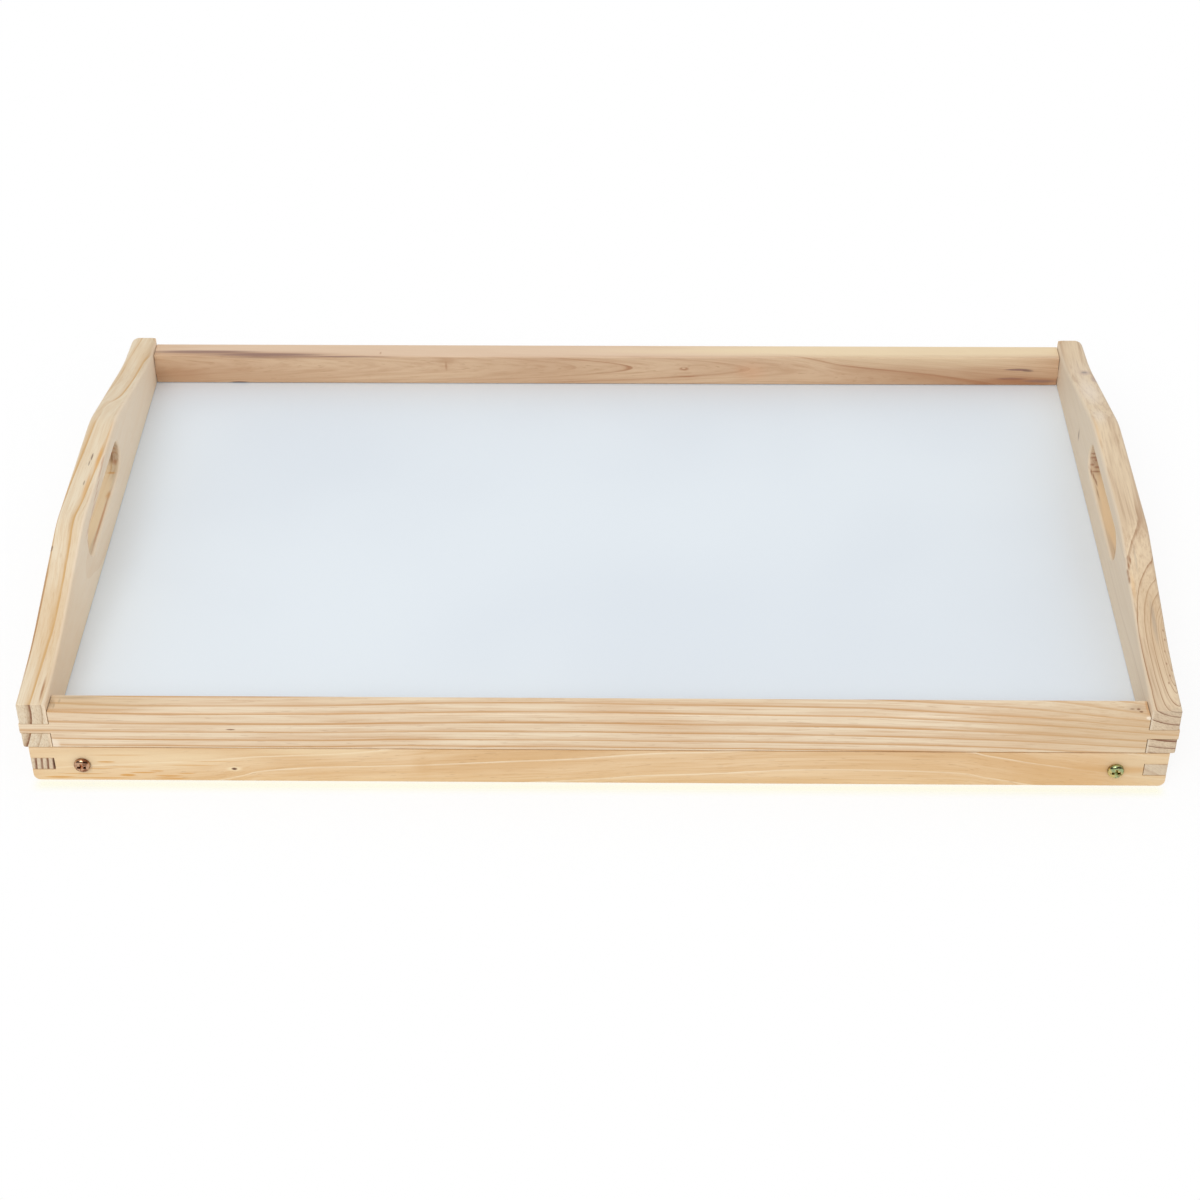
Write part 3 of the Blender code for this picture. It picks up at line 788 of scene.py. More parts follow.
# The hand hole's own sawn tone, lightened as painted light against the shade inside the hole.
grip_tan_and_painted_light = paint(238, 206, 162)
grip_brown = paint(134, 78, 44)
grip_line = paint(138, 74, 42)
core_tone = paint(170, 154, 132)
slope_tan = paint(188, 152, 112)

right_board_wood = pine(
    "pine_right_board", grain_y, round_pith(pith_place, right_pith, right_squash), right_lines, right_tan,
    right_late,
    bold=((2.5, 0.5), (5.4, 0.8), (7.7, 0.9), (8.6, 0.4), (10, 0.85), (11, 0.5), (12.7, 0.9), (13.1, 1),
          (13.6, 0.9), (15, 0.4), (18.4, 0.9), (20, 0.5), (30, 0.9), (39, 0.8)),
    fade=((-150, 1), (-96, 1), (-84, 0.75), (-60, 0.75), (-36, 0.65), (-15, 0.15), (60, 0.12), (86, 0.3),
          (104, 0.3), (130, 0.15), (150, 0.15)),
    shape=(0.6, 0.84, 0.94, 0.985, 0.3), wander=0.45, seed=5, cloud=0.25, streak=0.22, fine=0.35, dash=0.1,
    end_lines=1, end_amount=0.35,
    spots=(
        (243, 88, 54, 8, 34, 12, swirl_tone, 0.6, 0.9),
        (243, 114, 45.5, 8, 22, 8, swirl_tone, 0.2, 0.9),
        (241.5, 50, 60.5, 5, 16, 5, swirl_tone, 0.4, 0.9),
        (237.6, 34, 62, 2.6, 26, 3, amber_tone, 0.3, 0.9),
        (246.4, 26, 62.9, 0.6, 26, 2.5, right_late, 0.22, 0.8),
        (245, -98, 50, 9, 62, 14, slope_tan, 0.48, 0.9),
        (238.5, -77, 54.5, 1.6, 14, 5, amber_tone, 0.28, 0.9),
        (249, -150, 46.5, 9.5, 2.5, 8, core_tone, 0.55, 0.8),
        (245.4, 112, 46.4, 4.2, 5, 2.5, mauve_tone, 0.6, 0.8),
        (245, 112.8, 46.4, 2, 1.6, 2.5, grey_tone, 0.7, 0.7),
        (248.4, 103, 48.4, 2.2, 8, 2.5, mauve_tone, 0.7, 0.8),
        (245.2, -97, 49.9, 1.5, 24, 6, grey_tone, 0.4, 0.9),
        (241.6, -62, 58.5, 0.8, 14, 5, grey_tone, 0.3, 0.9),
        # Inside the right hand hole: the walls' tone, lightened as painted light against the hole's shade.
        (243.5, 0, 42, 6.3, 44, 13, grip_tan_and_painted_light, 0.75, 0.3),
        (240.5, 38, 41.5, 7, 9, 8, grip_brown, 0.35, 0.9),
        (238.9, 18, 37.9, 0.6, 8, 1.2, grip_brown, 0.5, 0.9),
        (236.6, 0, 36, 1.9, 300, 120, right_plain, 0.8, 0.5),
        (237, 69, 37.5, 1, 2.2, 4.5, knot_tone, 0.6, 0.8),
    ) + scorched(240.6, grip_line, (-70, -53, -44, -28, -19, -4, 9), 0.6)
    + stroke(((237.6, 41, 38.8), (238.3, 36.5, 38.1), (239, 32, 37.9), (239.5, 27.5, 37.9)),
             (0.6, 5, 1.4), grip_line, 0.7)
    + stroke(((239, -63, 58.1), (238, -66, 57.3), (237.3, -69.5, 56.5), (237.4, -73.5, 55.5)),
             (0.7, 3.4, 3), right_late, 0.8)
    + stroke(((248.5, -102, 48.6), (248.6, -107.2, 47.4), (247.6, -113.9, 45.8), (247.3, -121.2, 45.1),
              (247.6, -128.5, 44.6), (246.4, -133, 44.3)), (0.5, 1.2, 1.5), grip_brown, 0.6))
print("material:", right_board_wood.name)

# %% [markdown]
# ## The back rail
# The darkest board on the tray is heartwood. Its face was sawn nearly flat to the rings, so they show as
# tongues that point to the right, and its top edge changes from purplish brown at the left to cream sapwood
# at the right.

# %% Back rail wood
back_low, back_high = corners_of("rail_back")
tongue_heights = ((-250, 33), (14, 32.3), (76, 31.9), (127, 26), (170, 23.5), (204, 21.5), (250, 20))
tongue_taper = 0.08
tongue_width = 0.855
back_lines = (-26, -20, -14, -8, -3.2, -1.2, 1.12, 6.1, 16.6, 22, 28)
heart = paint(216, 184, 150)
heart_late = paint(164, 106, 66)
heart_deep = paint(180, 136, 100)
heart_pink = paint(230, 202, 174)
flush_tone = paint(222, 166, 126)
sap = paint(240, 218, 180)
purple_tone = paint(138, 104, 92)
bark_tone = paint(84, 62, 60)

back_rail_wood = pine(
    "pine_back_rail", grain_x, tongues(back_low.y, tongue_taper, tongue_width, tongue_heights), back_lines,
    heart, heart_late, deep=heart_deep,
    bold=((-26, 0.2), (-8, 0.2), (-1.2, 0.4), (1.1, 0.8), (3.5, 0.3), (6.1, 0.4), (10, 0.35), (16.2, 1),
          (17.6, 1), (20, 0.35), (28, 0.2)),
    fade=((-250, 0.3), (-60, 0.3), (-10, 0.8), (60, 1), (90, 0.55), (130, 0.9), (160, 1), (250, 1)),
    shape=(0.6, 0.86, 0.945, 0.985, 0.45), wander=0.4, seed=6, cloud=0.2, streak=0.3, fine=0.4, dash=0.35,
    spots=on_top(back_high.z, (
        (-40, 146.5, 260, 10, 1.6, heart_pink, 0.8, 0.4), (160, 146, 190, 9, 3, sap, 0.85, 0.6),
        (-190, 140.6, 72, 4.6, 3.4, heart_late, 0.4, 0.9),
        (-212, 142.4, 40, 2.2, 2.4, purple_tone, 0.8, 0.7),
        (-178, 139.8, 42, 2.4, 2.4, purple_tone, 0.85, 0.7),
        (-138, 138, 40, 1.3, 1.3, purple_tone, 0.9, 0.7), (-118, 141.8, 0.8, 1.8, 1, heart_late, 0.5, 0.9),
    )) + on_face(back_low.y, (
        (170, 36.5, 80, 4, 6, sap, 0.45, 0.8), (-200, 25, 90, 4, 12, heart_deep, 0.45, 0.9),
        (196, 24, 100, 4, 15, heart_deep, 0.65, 0.9), (-30, 30, 60, 4, 16, heart_deep, 0.25, 0.9),
        (145, 31, 50, 4, 16, heart_deep, 0.25, 0.9), (76, 30, 12, 3, 9, flush_tone, 0.3, 1),
        (-225, 27, 22, 3, 9, heart_deep, 0.5, 0.9), (-193, 22.6, 6, 2, 0.7, bark_tone, 0.9, 0.5),
        (-83.6, 36, 9, 3, 2.5, heart_deep, 0.6, 0.9), (-83.6, 33, 1, 2, 4, heart_late, 0.5, 0.9),
        (41.2, 31.8, 3.2, 2, 1.4, heart_late, 0.7, 0.6), (41, 32.2, 1.4, 2, 0.7, heart, 0.8, 0.6),
        (43, 27, 8, 2, 0.6, heart_late, 0.5, 0.8), (216, 31.9, 9, 2, 0.9, purple_tone, 0.9, 0.6),
        (221, 31.2, 4, 2, 0.7, bark_tone, 0.6, 0.6), (213, 26.2, 10, 2, 1.1, purple_tone, 0.9, 0.6),
        (218, 24.5, 34, 2, 4, heart_late, 0.7, 0.8), (228, 24.9, 12, 2, 1.3, purple_tone, 0.7, 0.7),
    )))
print("material:", back_rail_wood.name)

# %% [markdown]
# ## The rest of the wood
# The cross members show only their fingers at the front: dark stripes at the left, plain grey-beige at the
# right. The legs and the foot bars are hidden while the tray is folded, but they swing into view, so they
# get the same pine with straight, slightly leaning rings.

# %% Other wood
cross_low, cross_high = corners_of("base_cross_left")
stripe_gap = 2.6
leg_gap = 4.3
foot_gap = 3.6
left_cross_wood = pine(
    "pine_left_cross", grain_y, leaning((1, 0, -0.08), (cross_low.x + 1.8, 0, 0)),
    tuple(stripe_gap * step for step in range(-2, 7)), cream, cream_late,
    shape=(0.3, 0.5, 0.72, 0.9, 0.3), wander=0.4, seed=7, end_lines=1, end_amount=0.6,
    spots=((cross_high.x - 0.2, cross_low.y, 9.3, 0.5, 3, 4, pin_tone, 0.8, 0.5),))
right_cross_wood = pine(
    "pine_right_cross", grain_y, leaning((0.5, 0, 0.86), (240, 0, 0)),
    (-8, -3, 2, 8, 15), right_tan, cream_late, seed=8, end_lines=0.2, end_amount=0.8)
leg_wood = pine(
    "pine_legs", grain_x, leaning((0, 0.5, 0.86), (0, 0, 0), ((-250, 4), (0, 0), (250, 3))),
    tuple(leg_gap * step for step in range(-18, 22)), cream, cream_late, wander=1.2, seed=9,
    spots=((-110, -126, 9, 3.5, 5, 2, knot_tone, 0.8, 0.6),
           (150, 126, 12, 3, 5, 2, knot_tone, 0.8, 0.6)))
foot_wood = pine(
    "pine_foot_bars", grain_y, leaning((0.3, 0, 0.95), (0, 0, 0), ((-150, 2), (150, -3))),
    tuple(foot_gap * step for step in range(-10, 12)), bar_pale, bar_late, wander=1, seed=10)
print("materials:", left_cross_wood.name, right_cross_wood.name, leg_wood.name, foot_wood.name)

# %% [markdown]
# ## Sawn pieces
# A sawn edge is never perfectly sharp: sanding takes nearly half a millimetre off, and that thin facet is
# what catches the light along every arris. Each piece is a copy of its solid. The copy's loose triangles
# are merged, flat faces are joined again, and the long outer edges are eased more than the edges inside a
# joint.

# %% Eased copies
merge_distance = 0.01 * mm
flat_angle = math.radians(0.5)
corner_angle = math.radians(30)
smooth_angle = math.radians(50)
long_edge = 100 * mm
outer_ease = 0.45 * mm
joint_ease = 0.12 * mm


def settle(made):
    """Turn an object with modifiers into a plain mesh."""
    graph = bpy.context.evaluated_depsgraph_get()
    mesh = bpy.data.meshes.new_from_object(made.evaluated_get(graph), preserve_all_data_layers=True,
                                           depsgraph=graph)
    mesh.name = made.name
    made.modifiers.clear()
    made.data = mesh
    return made


def add_object(name, mesh):
    made = bpy.data.objects.new(name, mesh)
    scene.collection.objects.link(made)
    return made


def to_mesh(name, builder):
    """Close a bmesh and keep its mesh."""
    mesh = bpy.data.meshes.new(name)
    builder.to_mesh(mesh)
    builder.free()
    return mesh


def dress(name, mesh, material, body, replaced):
    """Shade a mesh so that flats stay flat, and hand it to its body in place of its CAD nodes."""
    made = add_object(name, mesh)
    mesh.shade_smooth()
    mesh.set_sharp_from_angle(angle=smooth_angle)
    made.modifiers.new("Weigh normals", "WEIGHTED_NORMAL").keep_sharp = True
    settle(made)
    made.data.materials.clear()
    made.data.materials.append(material)
    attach(made, body)
    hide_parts(*replaced)


def ease(builder, radius, steps, wanted):
    """Bevel the sharp edges that a rule picks."""
    sharp = [edge for edge in builder.edges if edge.is_manifold
             and abs(edge.calc_face_angle(0.0)) > corner_angle and wanted(edge)]
    bmesh.ops.bevel(builder, geom=sharp, offset=radius, segments=steps, profile=0.5, affect="EDGES",
                    clamp_overlap=True)


def sawn(node, material, body):
    """An eased copy of a wooden node."""
    builder = bmesh.new()
    builder.from_mesh(nodes[node].data)
    bmesh.ops.remove_doubles(builder, verts=builder.verts, dist=merge_distance)
    bmesh.ops.dissolve_limit(builder, angle_limit=flat_angle, verts=builder.verts, edges=builder.edges)
    ease(builder, outer_ease, 3, lambda edge: edge.calc_length() > long_edge)
    ease(builder, joint_ease, 1, lambda edge: edge.calc_length() <= long_edge)
    dress(node + "_wood", to_mesh(node, builder), material, body, [node])


for node, material, slot in (("rail_front", front_rail_wood, "pine_cream"),
                             ("rail_back", back_rail_wood, "pine_brown"),
                             ("base_bar_front", front_bar_wood, "pine_yellow"),
                             ("base_bar_back", back_bar_wood, "pine_yellow"),
                             ("base_cross_left", left_cross_wood, "pine_yellow"),
                             ("base_cross_right", right_cross_wood, "pine_yellow")):
    sawn(node, material, "tray")
for side in ("left", "right"):
    for node, material, slot in (("leg_" + side + "_front", leg_wood, "pine_cream"),
                                 ("leg_" + side + "_back", leg_wood, "pine_cream"),
                                 ("foot_bar_" + side, foot_wood, "pine_yellow")):
        sawn(node, material, "leg_frame_" + side)

# %% [markdown]
# ## Handle boards from their rule
# A handle board's side view is eight corners with a radius at each, plus one rounded slot. That is a rule,
# so Geometry Nodes draw it: the corners become a curve, Fillet Curve rounds them by an attribute, the slot
# joins in, and the filled outline is extruded. Each sharp edge also gets a bevel weight, so that one Bevel
# modifier can round the top edges by 2 mm, the outer lower edge by 3 mm and the rims of the hand hole by
# 1.5 mm. At the back end the photograph shows a domed outline, so the top edges grow rounder there, up to
# 4 mm.

# %% Handle board sizes
quarter = math.pi / 2
board_thickness = 13.0 * mm
board_inner_face = right_low.x * mm
board_bottom = right_low.z * mm
board_top = right_high.z * mm
board_half = right_high.y * mm
end_height = 24.0 * mm
foot_height = 26.8 * mm
low_end_length = 35.5 * mm
hump_half = 43.0 * mm
foot_radius = 200.0 * mm
shoulder_radius = 60.0 * mm
grip_length = 2 * (slot_end + slot_round) * mm
grip_height = 2 * slot_round * mm
grip_middle = slot_middle * mm
full_round = 0.4999
widest_ease = 4.0 * mm
ease_steps = 5
top_share = 0.5
foot_share = 0.75
rim_share = 0.375
back_corner_share = 1.0
front_corner_share = 0.3
back_end_share = 0.12
dome_start = 98.0 * mm
dome_full = 134.0 * mm
front_end_share = 0.1
joint_share = 0.04
fillet_steps = 24
tiny = 0.05 * mm
print("handle board, m:", [round(side, 4) for side in (2 * board_half, board_thickness, board_top)])

# %% Handle board tree
def choose(test, otherwise, value):
    """The value where the test is one, and the other where it is nought."""
    return ramp(test, 0.0, 1.0, otherwise, value, smooth=False)


def fillet(curve, radius):
    return flow("GeometryNodeFilletCurve", {"Curve": curve, "Radius": radius, "Count": fillet_steps,
                                            "Limit Radius": True}, mode="POLY")


def join(*parts):
    """Join geometries, which one socket takes in turn."""
    made = place("GeometryNodeJoinGeometry")
    for part in parts:
        feed(made.inputs[0], part)
    return Flow(made.outputs[0])


def finish_tree(out, geometry, material):
    """Make a geometry real, give it its material, and send it out."""
    real = flow("GeometryNodeRealizeInstances", {"Geometry": geometry})
    feed(out["Geometry"], flow("GeometryNodeSetMaterial", {"Geometry": real, "Material": material}))


def board_tree():
    tree, given, out = new_group(
        "handle board", "Geometry",
        {"Geometry": "Geometry", "Thickness": board_thickness, "Slot Length": grip_length,
         "Slot Height": grip_height, "Slot Middle": grip_middle, "Bottom": board_bottom,
         "Half Length": board_half, "Inner Face": board_inner_face, "Wood": "Material"},
        {"Geometry": "Geometry"})
    tree.is_modifier = True
    outline = flow("GeometryNodeMeshToCurve", {"Mesh": given["Geometry"]})
    radius = flow("GeometryNodeInputNamedAttribute", {"Name": "fillet"}, data_type="FLOAT")
    slot = flow("GeometryNodeCurvePrimitiveQuadrilateral",
                {"Width": given["Slot Length"], "Height": given["Slot Height"]}, mode="RECTANGLE")
    hole = flow("GeometryNodeTransform", {"Geometry": fillet(slot, given["Slot Height"] * full_round),
                                          "Translation": combine(0.0, given["Slot Middle"], 0.0)})
    filled = flow("GeometryNodeFillCurve", {"Curve": join(fillet(outline, radius), hole)}, mode="NGONS")
    raised = flow("GeometryNodeExtrudeMesh", {"Mesh": filled, "Offset": combine(0.0, 0.0, given["Thickness"]),
                                              "Individual": False}, mode="FACES")
    under = flow("GeometryNodeFlipFaces", {"Mesh": filled})
    closed = flow("GeometryNodeMergeByDistance",
                  {"Geometry": join(raised, under), "Distance": merge_distance})
    weighted = flow("GeometryNodeStoreNamedAttribute",
                    {"Geometry": closed, "Name": "bevel_weight_edge", "Value": edge_weights(given)},
                    data_type="FLOAT", domain="EDGE")
    turned = flow("GeometryNodeTransform", {"Geometry": weighted, "Rotation": (quarter, 0.0, quarter),
                                            "Translation": combine(given["Inner Face"], 0.0, 0.0)})
    finish_tree(out, turned, given["Wood"])
    return tree


def edge_weights(given):
    """Shares of the widest ease. In the tree, X runs along the board, Y is up and Z goes through it."""
    edge = flows(place("GeometryNodeInputMeshEdgeVertices"))
    first, second = edge["Position 1"], edge["Position 2"]
    along, up, through = split((first + second) * 0.5)
    crossing = split(first - second)[2]
    above = up > given["Bottom"] + tiny
    outer = through > given["Thickness"] - tiny
    at_back = along > 0.0
    at_end = abs(along) > given["Half Length"] - tiny
    in_slot = ((abs(along) < given["Slot Length"] * 0.5 + tiny)
               * (abs(up - given["Slot Middle"]) < given["Slot Height"] * 0.5 + tiny))
    rounder = ramp(along, dome_start, dome_full, top_share, 1.0)
    level = choose(above, choose(outer, joint_share, foot_share), rounder)
    upright = choose(outer, joint_share, choose(at_back, front_corner_share, back_corner_share))
    lengthwise = choose(in_slot, choose(at_end, level, upright), rim_share)
    crosswise = choose(above, joint_share, choose(at_back, front_end_share, back_end_share))
    sharp = flow("GeometryNodeInputMeshEdgeAngle") > corner_angle
    return sharp * choose(abs(crossing) > tiny, lengthwise, crosswise)


def set_inputs(modifier, **values):
    """Set a geometry modifier's inputs by their sockets' identifiers."""
    for item in modifier.node_group.interface.items_tree:
        label = item.name.replace(" ", "_")
        if item.in_out == "INPUT" and label in values:
            modifier[item.identifier] = values[label]


board_rule = board_tree()
print("tree:", board_rule.name, "with", len(board_rule.nodes), "nodes")

# %% [markdown]
# ## Cutting the joints
# The eased board then loses the notches for the rails' fingers and the rebate for the panel, by exact
# booleans with plain blocks. Cutting after the rounding keeps the edges in the joints crisp, as a saw
# leaves them. The left board is the mirror of the right, with its faces turned round again, because a
# mirror turns a shape inside out.

# %% Handle boards
notch_low = 26.5 * mm
notch_high = 32.1 * mm
notch_depth = 11.8 * mm
rebate_depth = 4.0 * mm
rebate_half = 142.5 * mm
rebate_top = 22.4 * mm
overrun = 2.0 * mm


def outline_mesh():
    """Eight corners in a ring, each with its fillet radius."""
    back_half = [(board_half, board_bottom, 0.0), (board_half, board_bottom + end_height, 0.0),
                 (board_half - low_end_length, board_bottom + foot_height, foot_radius),
                 (hump_half, board_top, shoulder_radius)]
    corners = back_half + [(-along, up, radius) for along, up, radius in reversed(back_half)]
    count = len(corners)
    mesh = bpy.data.meshes.new("board outline")
    mesh.from_pydata([(along, up, 0.0) for along, up, radius in corners],
                     [(index, (index + 1) % count) for index in range(count)], [])
    fillets = mesh.attributes.new("fillet", "FLOAT", "POINT")
    fillets.data.foreach_set("value", [radius for along, up, radius in corners])
    return mesh


def add_block(name, low, high):
    """A plain block that only cuts."""
    builder = bmesh.new()
    size = Vector(high) - Vector(low)
    middle = (Vector(high) + Vector(low)) / 2
    stretched = Matrix.Translation(middle) @ Matrix.Diagonal((*size, 1.0))
    bmesh.ops.create_cube(builder, size=1.0, matrix=stretched)
    made = add_object(name, to_mesh(name, builder))
    made.hide_render = True
    return made


def cut(made, cutters):
    """Take blocks away, settle the result, and drop the blocks."""
    for cutter in cutters:
        step = made.modifiers.new("Cut", "BOOLEAN")
        step.solver = "EXACT"
        step.object = cutter
    settle(made)
    for cutter in cutters:
        bpy.data.objects.remove(cutter, do_unlink=True)
    return made


def shape_board():
    made = add_object("board", outline_mesh())
    rule = made.modifiers.new("Board", "NODES")
    rule.node_group = board_rule
    set_inputs(rule, Wood=right_board_wood)
    rounding = made.modifiers.new("Ease", "BEVEL")
    rounding.limit_method = "WEIGHT"
    rounding.width = widest_ease
    rounding.segments = ease_steps
    rounding.use_clamp_overlap = False
    outer = board_inner_face + board_thickness
    low_x = board_inner_face - overrun
    far = board_half + overrun
    near = board_half - notch_depth
    return cut(made, [
        add_block("notch front", (low_x, -far, notch_low), (outer + overrun, -near, notch_high)),
        add_block("notch back", (low_x, near, notch_low), (outer + overrun, far, notch_high)),
        add_block("rebate", (low_x, -rebate_half, board_bottom - overrun),
                  (board_inner_face + rebate_depth, rebate_half, rebate_top)),
    ])


board = shape_board()
mirrored = bmesh.new()
mirrored.from_mesh(board.data)
bmesh.ops.transform(mirrored, matrix=Matrix.Scale(-1, 4, Vector((1, 0, 0))), verts=mirrored.verts)
bmesh.ops.reverse_faces(mirrored, faces=mirrored.faces)
dress("handle_board_right_wood", board.data.copy(), right_board_wood, "tray", ["handle_board_right"])
dress("handle_board_left_wood", to_mesh("left", mirrored), left_board_wood, "tray", ["handle_board_left"])
print("handle board faces:", len(board.data.polygons))
bpy.data.objects.remove(board, do_unlink=True)

# %% [markdown]
# ## The panel
# A thin sheet with a white satin laminate on both sides. Its solid is already right, so it stays and only
# gets a material: a cool white that is never quite even, and the faint orange peel of a pressed laminate.

# %% Laminate
laminate_white = paint(230, 237, 243)
laminate_shade = paint(225, 232, 239)
laminate_drift = (0.35, 0.7)
laminate_gloss = (0.3, 0.7, 0.34, 0.42)
cloud_scale = 6.0
peel_scale = 900.0
peel_strength = 0.15
peel_depth = 0.02 * mm


def laminate():
    made, shader = new_material("white_laminate")
    spot = flows(place("ShaderNodeTexCoord"))["Object"]
    broad = noise(spot, cloud_scale)
    finish_surface(shader, tint(ramp(broad, *laminate_drift), laminate_white, laminate_shade),
                   ramp(broad, *laminate_gloss), noise(spot, peel_scale), peel_strength, peel_depth)
    return made


nodes["panel"].data.materials.clear()
nodes["panel"].data.materials.append(laminate())
print("panel dressed:", nodes["panel"].material_slots[0].material.name)

# %% [markdown]
# ## Turned shapes
# Screws and washers are turned shapes: a profile spun round its axis. A screw also has a cross recess
# pressed into its head, which is cut out by a block with slanting walls, and a thread rolled on its shank.
# The thread is no separate part: the shank's radius dips along a helix, which is one cosine.

# %% Turned shapes
round_sides = 48
rings_per_turn = 6
tip_length = 2.0 * mm
tip_share = 0.15
recess_flare = 1.35
recess_taper = 0.36
recess_core = 0.6


def ring(radius, height, groove=0.0, pitch=1.0):
    """Points round Z, or just its middle where the radius is nought. A groove deepens along a helix."""
    if radius == 0:
        return [(0, 0, height)]
    points = []
    for index in range(round_sides):
        angle = math.tau * index / round_sides
        reach = radius - groove * (0.5 - 0.5 * math.cos(angle - math.tau * height / pitch))
        points.append((reach * math.cos(angle), reach * math.sin(angle), height))
    return points


def skin(name, levels, closed=False, capped=False):
    """An object whose faces join one level of points to the next. A level of one point is a tip."""
    builder = bmesh.new()
    loops = [[builder.verts.new(point) for point in level] for level in levels]
    if closed:
        loops.append(loops[0])
    sides = max(len(loop) for loop in loops)
    for lower, upper in zip(loops, loops[1:]):
        for index in range(sides):
            following = (index + 1) % sides
            around = [lower[0]] if len(lower) == 1 else [lower[index], lower[following]]
            around += [upper[0]] if len(upper) == 1 else [upper[following], upper[index]]
            builder.faces.new(around)
    if capped:
        builder.faces.new(loops[0])
        builder.faces.new(loops[-1])
    bmesh.ops.recalc_face_normals(builder, faces=builder.faces)
    return add_object(name, to_mesh(name, builder))


def shank(radius, start, stop, groove, pitch):
    """Rings from the tip at start up to the head at stop, threaded most of the way."""
    count = int((stop - start) / pitch * rings_per_turn)
    levels = [ring(0, start)]
    for step in range(1, count):
        height = start + (stop - start) * step / count
        taper = min(1.0, (height - start) / tip_length)
        threaded = groove * min(1.0, (stop - height) / (2 * pitch)) * taper
        levels.append(ring(radius * max(taper, tip_share), height, threaded, pitch))
    return levels + [ring(radius, stop)]


def add_recess(made, top, reach, width, depth):
    """Press a cross into a head whose crown is at a height. It narrows from the flare above to its floor."""
    levels = []
    for height, share in ((top + overrun, recess_flare), (top, 1.0), (top - depth, recess_taper)):
        half = width / 2 * (recess_core + (1.0 - recess_core) * share)
        arm = [Vector((reach * share, -half)), Vector((reach * share, half)), Vector((half, half))]
        level = []
        for number in range(4):
            turn = Matrix.Rotation(quarter * number, 2)
            level += [(*(turn @ point), height) for point in arm]
        levels.append(level)
    return cut(made, [skin("recess", levels, capped=True)])


print("points round a turned shape:", len(ring(mm, 0)))

# %% [markdown]
# ## Pivot screws and washers
# Each leg hangs on a pan-head screw, with a flat washer under the head. A pressed head is fuller towards its
# rim than part of a ball, so the crown's radius follows a cosine to a power below one.

# %% Pivot screws and washers
crown_steps = 10
crown_power = 0.7
punched_edge = 0.15 * mm
bore_play = 0.4 * mm
screw_low, screw_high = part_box("pivot_screw_left_front")
head_radius = (screw_high.x - screw_low.x) / 2
head_height = 2.4 * mm
head_rim = 0.8 * mm
screw_radius = 1.75 * mm
screw_pitch = 1.3 * mm
screw_groove = 0.35 * mm
screw_cross = (2.1 * mm, 1.3 * mm, 1.9 * mm)
screw_seat = -screw_low.y - head_height
screw_reach = screw_seat + screw_high.y


def pan_screw():
    """A pan-head screw with its seat at Z = 0 and its head up."""
    levels = shank(screw_radius, -screw_reach, 0, screw_groove, screw_pitch)
    levels += [ring(head_radius - punched_edge, 0), ring(head_radius, punched_edge),
               ring(head_radius, head_rim)]
    for step in range(1, crown_steps):
        angle = quarter * step / crown_steps
        levels.append(ring(head_radius * math.cos(angle) ** crown_power,
                           head_rim + (head_height - head_rim) * math.sin(angle)))
    made = skin("pan screw", levels + [ring(0, head_height)])
    return add_recess(made, head_height, *screw_cross)


washer_low, washer_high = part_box("pivot_washer_left_front")


def washer():
    """A flat washer with its seat at Z = 0. Its edges are slightly rounded by the punch."""
    outer = (washer_high.x - washer_low.x) / 2
    inner = screw_radius + bore_play
    thick = washer_high.y - washer_low.y
    section = ((inner, 0), (outer - punched_edge, 0), (outer, punched_edge), (outer, thick - punched_edge),
               (outer - punched_edge, thick), (inner, thick))
    return skin("washer", [ring(*corner) for corner in section], closed=True)


pan, ring_washer = pan_screw(), washer()
print("faces:", {item.name: len(item.data.polygons) for item in (pan, ring_washer)})

# %% [markdown]
# ## Frame screws
# Six countersunk screws hold the base frame from below. Their heads lie flush with the wood, so the profile
# goes straight out from the shank to the rim, and only the flat top with its cross shows.

# %% Frame screws
sunk_low, sunk_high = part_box("frame_screw_front_left")
sunk_radius = (sunk_high.x - sunk_low.x) / 2
sunk_shank = 1.5 * mm
sunk_groove = 0.3 * mm
sunk_pitch = 1.2 * mm
sunk_cross = (1.6 * mm, 0.85 * mm, 1.4 * mm)
sunk_neck = 2.1 * mm
sunk_edge = 0.08 * mm
sunk_rim = 0.3 * mm


def sunk_screw():
    """A countersunk screw with its flat head at Z = 0, facing up."""
    levels = shank(sunk_shank, sunk_low.z - sunk_high.z, -sunk_neck, sunk_groove, sunk_pitch)
    levels += [ring(sunk_radius, -sunk_rim), ring(sunk_radius, -sunk_edge), ring(sunk_radius - sunk_edge, 0),
               ring(0, 0)]
    return add_recess(skin("sunk screw", levels), 0, *sunk_cross)


sunk = sunk_screw()
print("faces:", {sunk.name: len(sunk.data.polygons)})

# %% [markdown]
# ## Zinc plate
# The pivot screws are yellow zinc, whose thin chromate film shifts from gold to copper, pink and green
# across a few millimetres. Noise at that scale picks between the colours. The left pair has gone bronze,
# the right pair greenish. The rose patches on the left pair and the dull brown patches on both are partly
# the film's own tone and partly painted highlight and painted dark reflection, which give the heads their
# contrast. Washers and frame screws are plain blue-white zinc.

# %% Zinc materials
gold = paint(206, 188, 126)
bronze = paint(134, 88, 64)
# Partly the film's tone, partly painted highlight.
rose_film_and_painted_highlight = paint(198, 158, 128)
green = paint(158, 172, 126)
# Partly the film's tone, partly painted dark reflection.
dark_film_and_painted_reflection = paint(84, 56, 48)
steel_blue = paint(176, 182, 190)
steel_grey = paint(140, 144, 150)
steel_pale = paint(160, 166, 176)
broad_scale = 300.0
small_scale = 900.0
first_drift = (0.42, 0.58)
second_drift = (0.54, 0.66, 0.0, 0.6)
gloss_band = (0.3, 0.7)
gloss_drift = 0.12


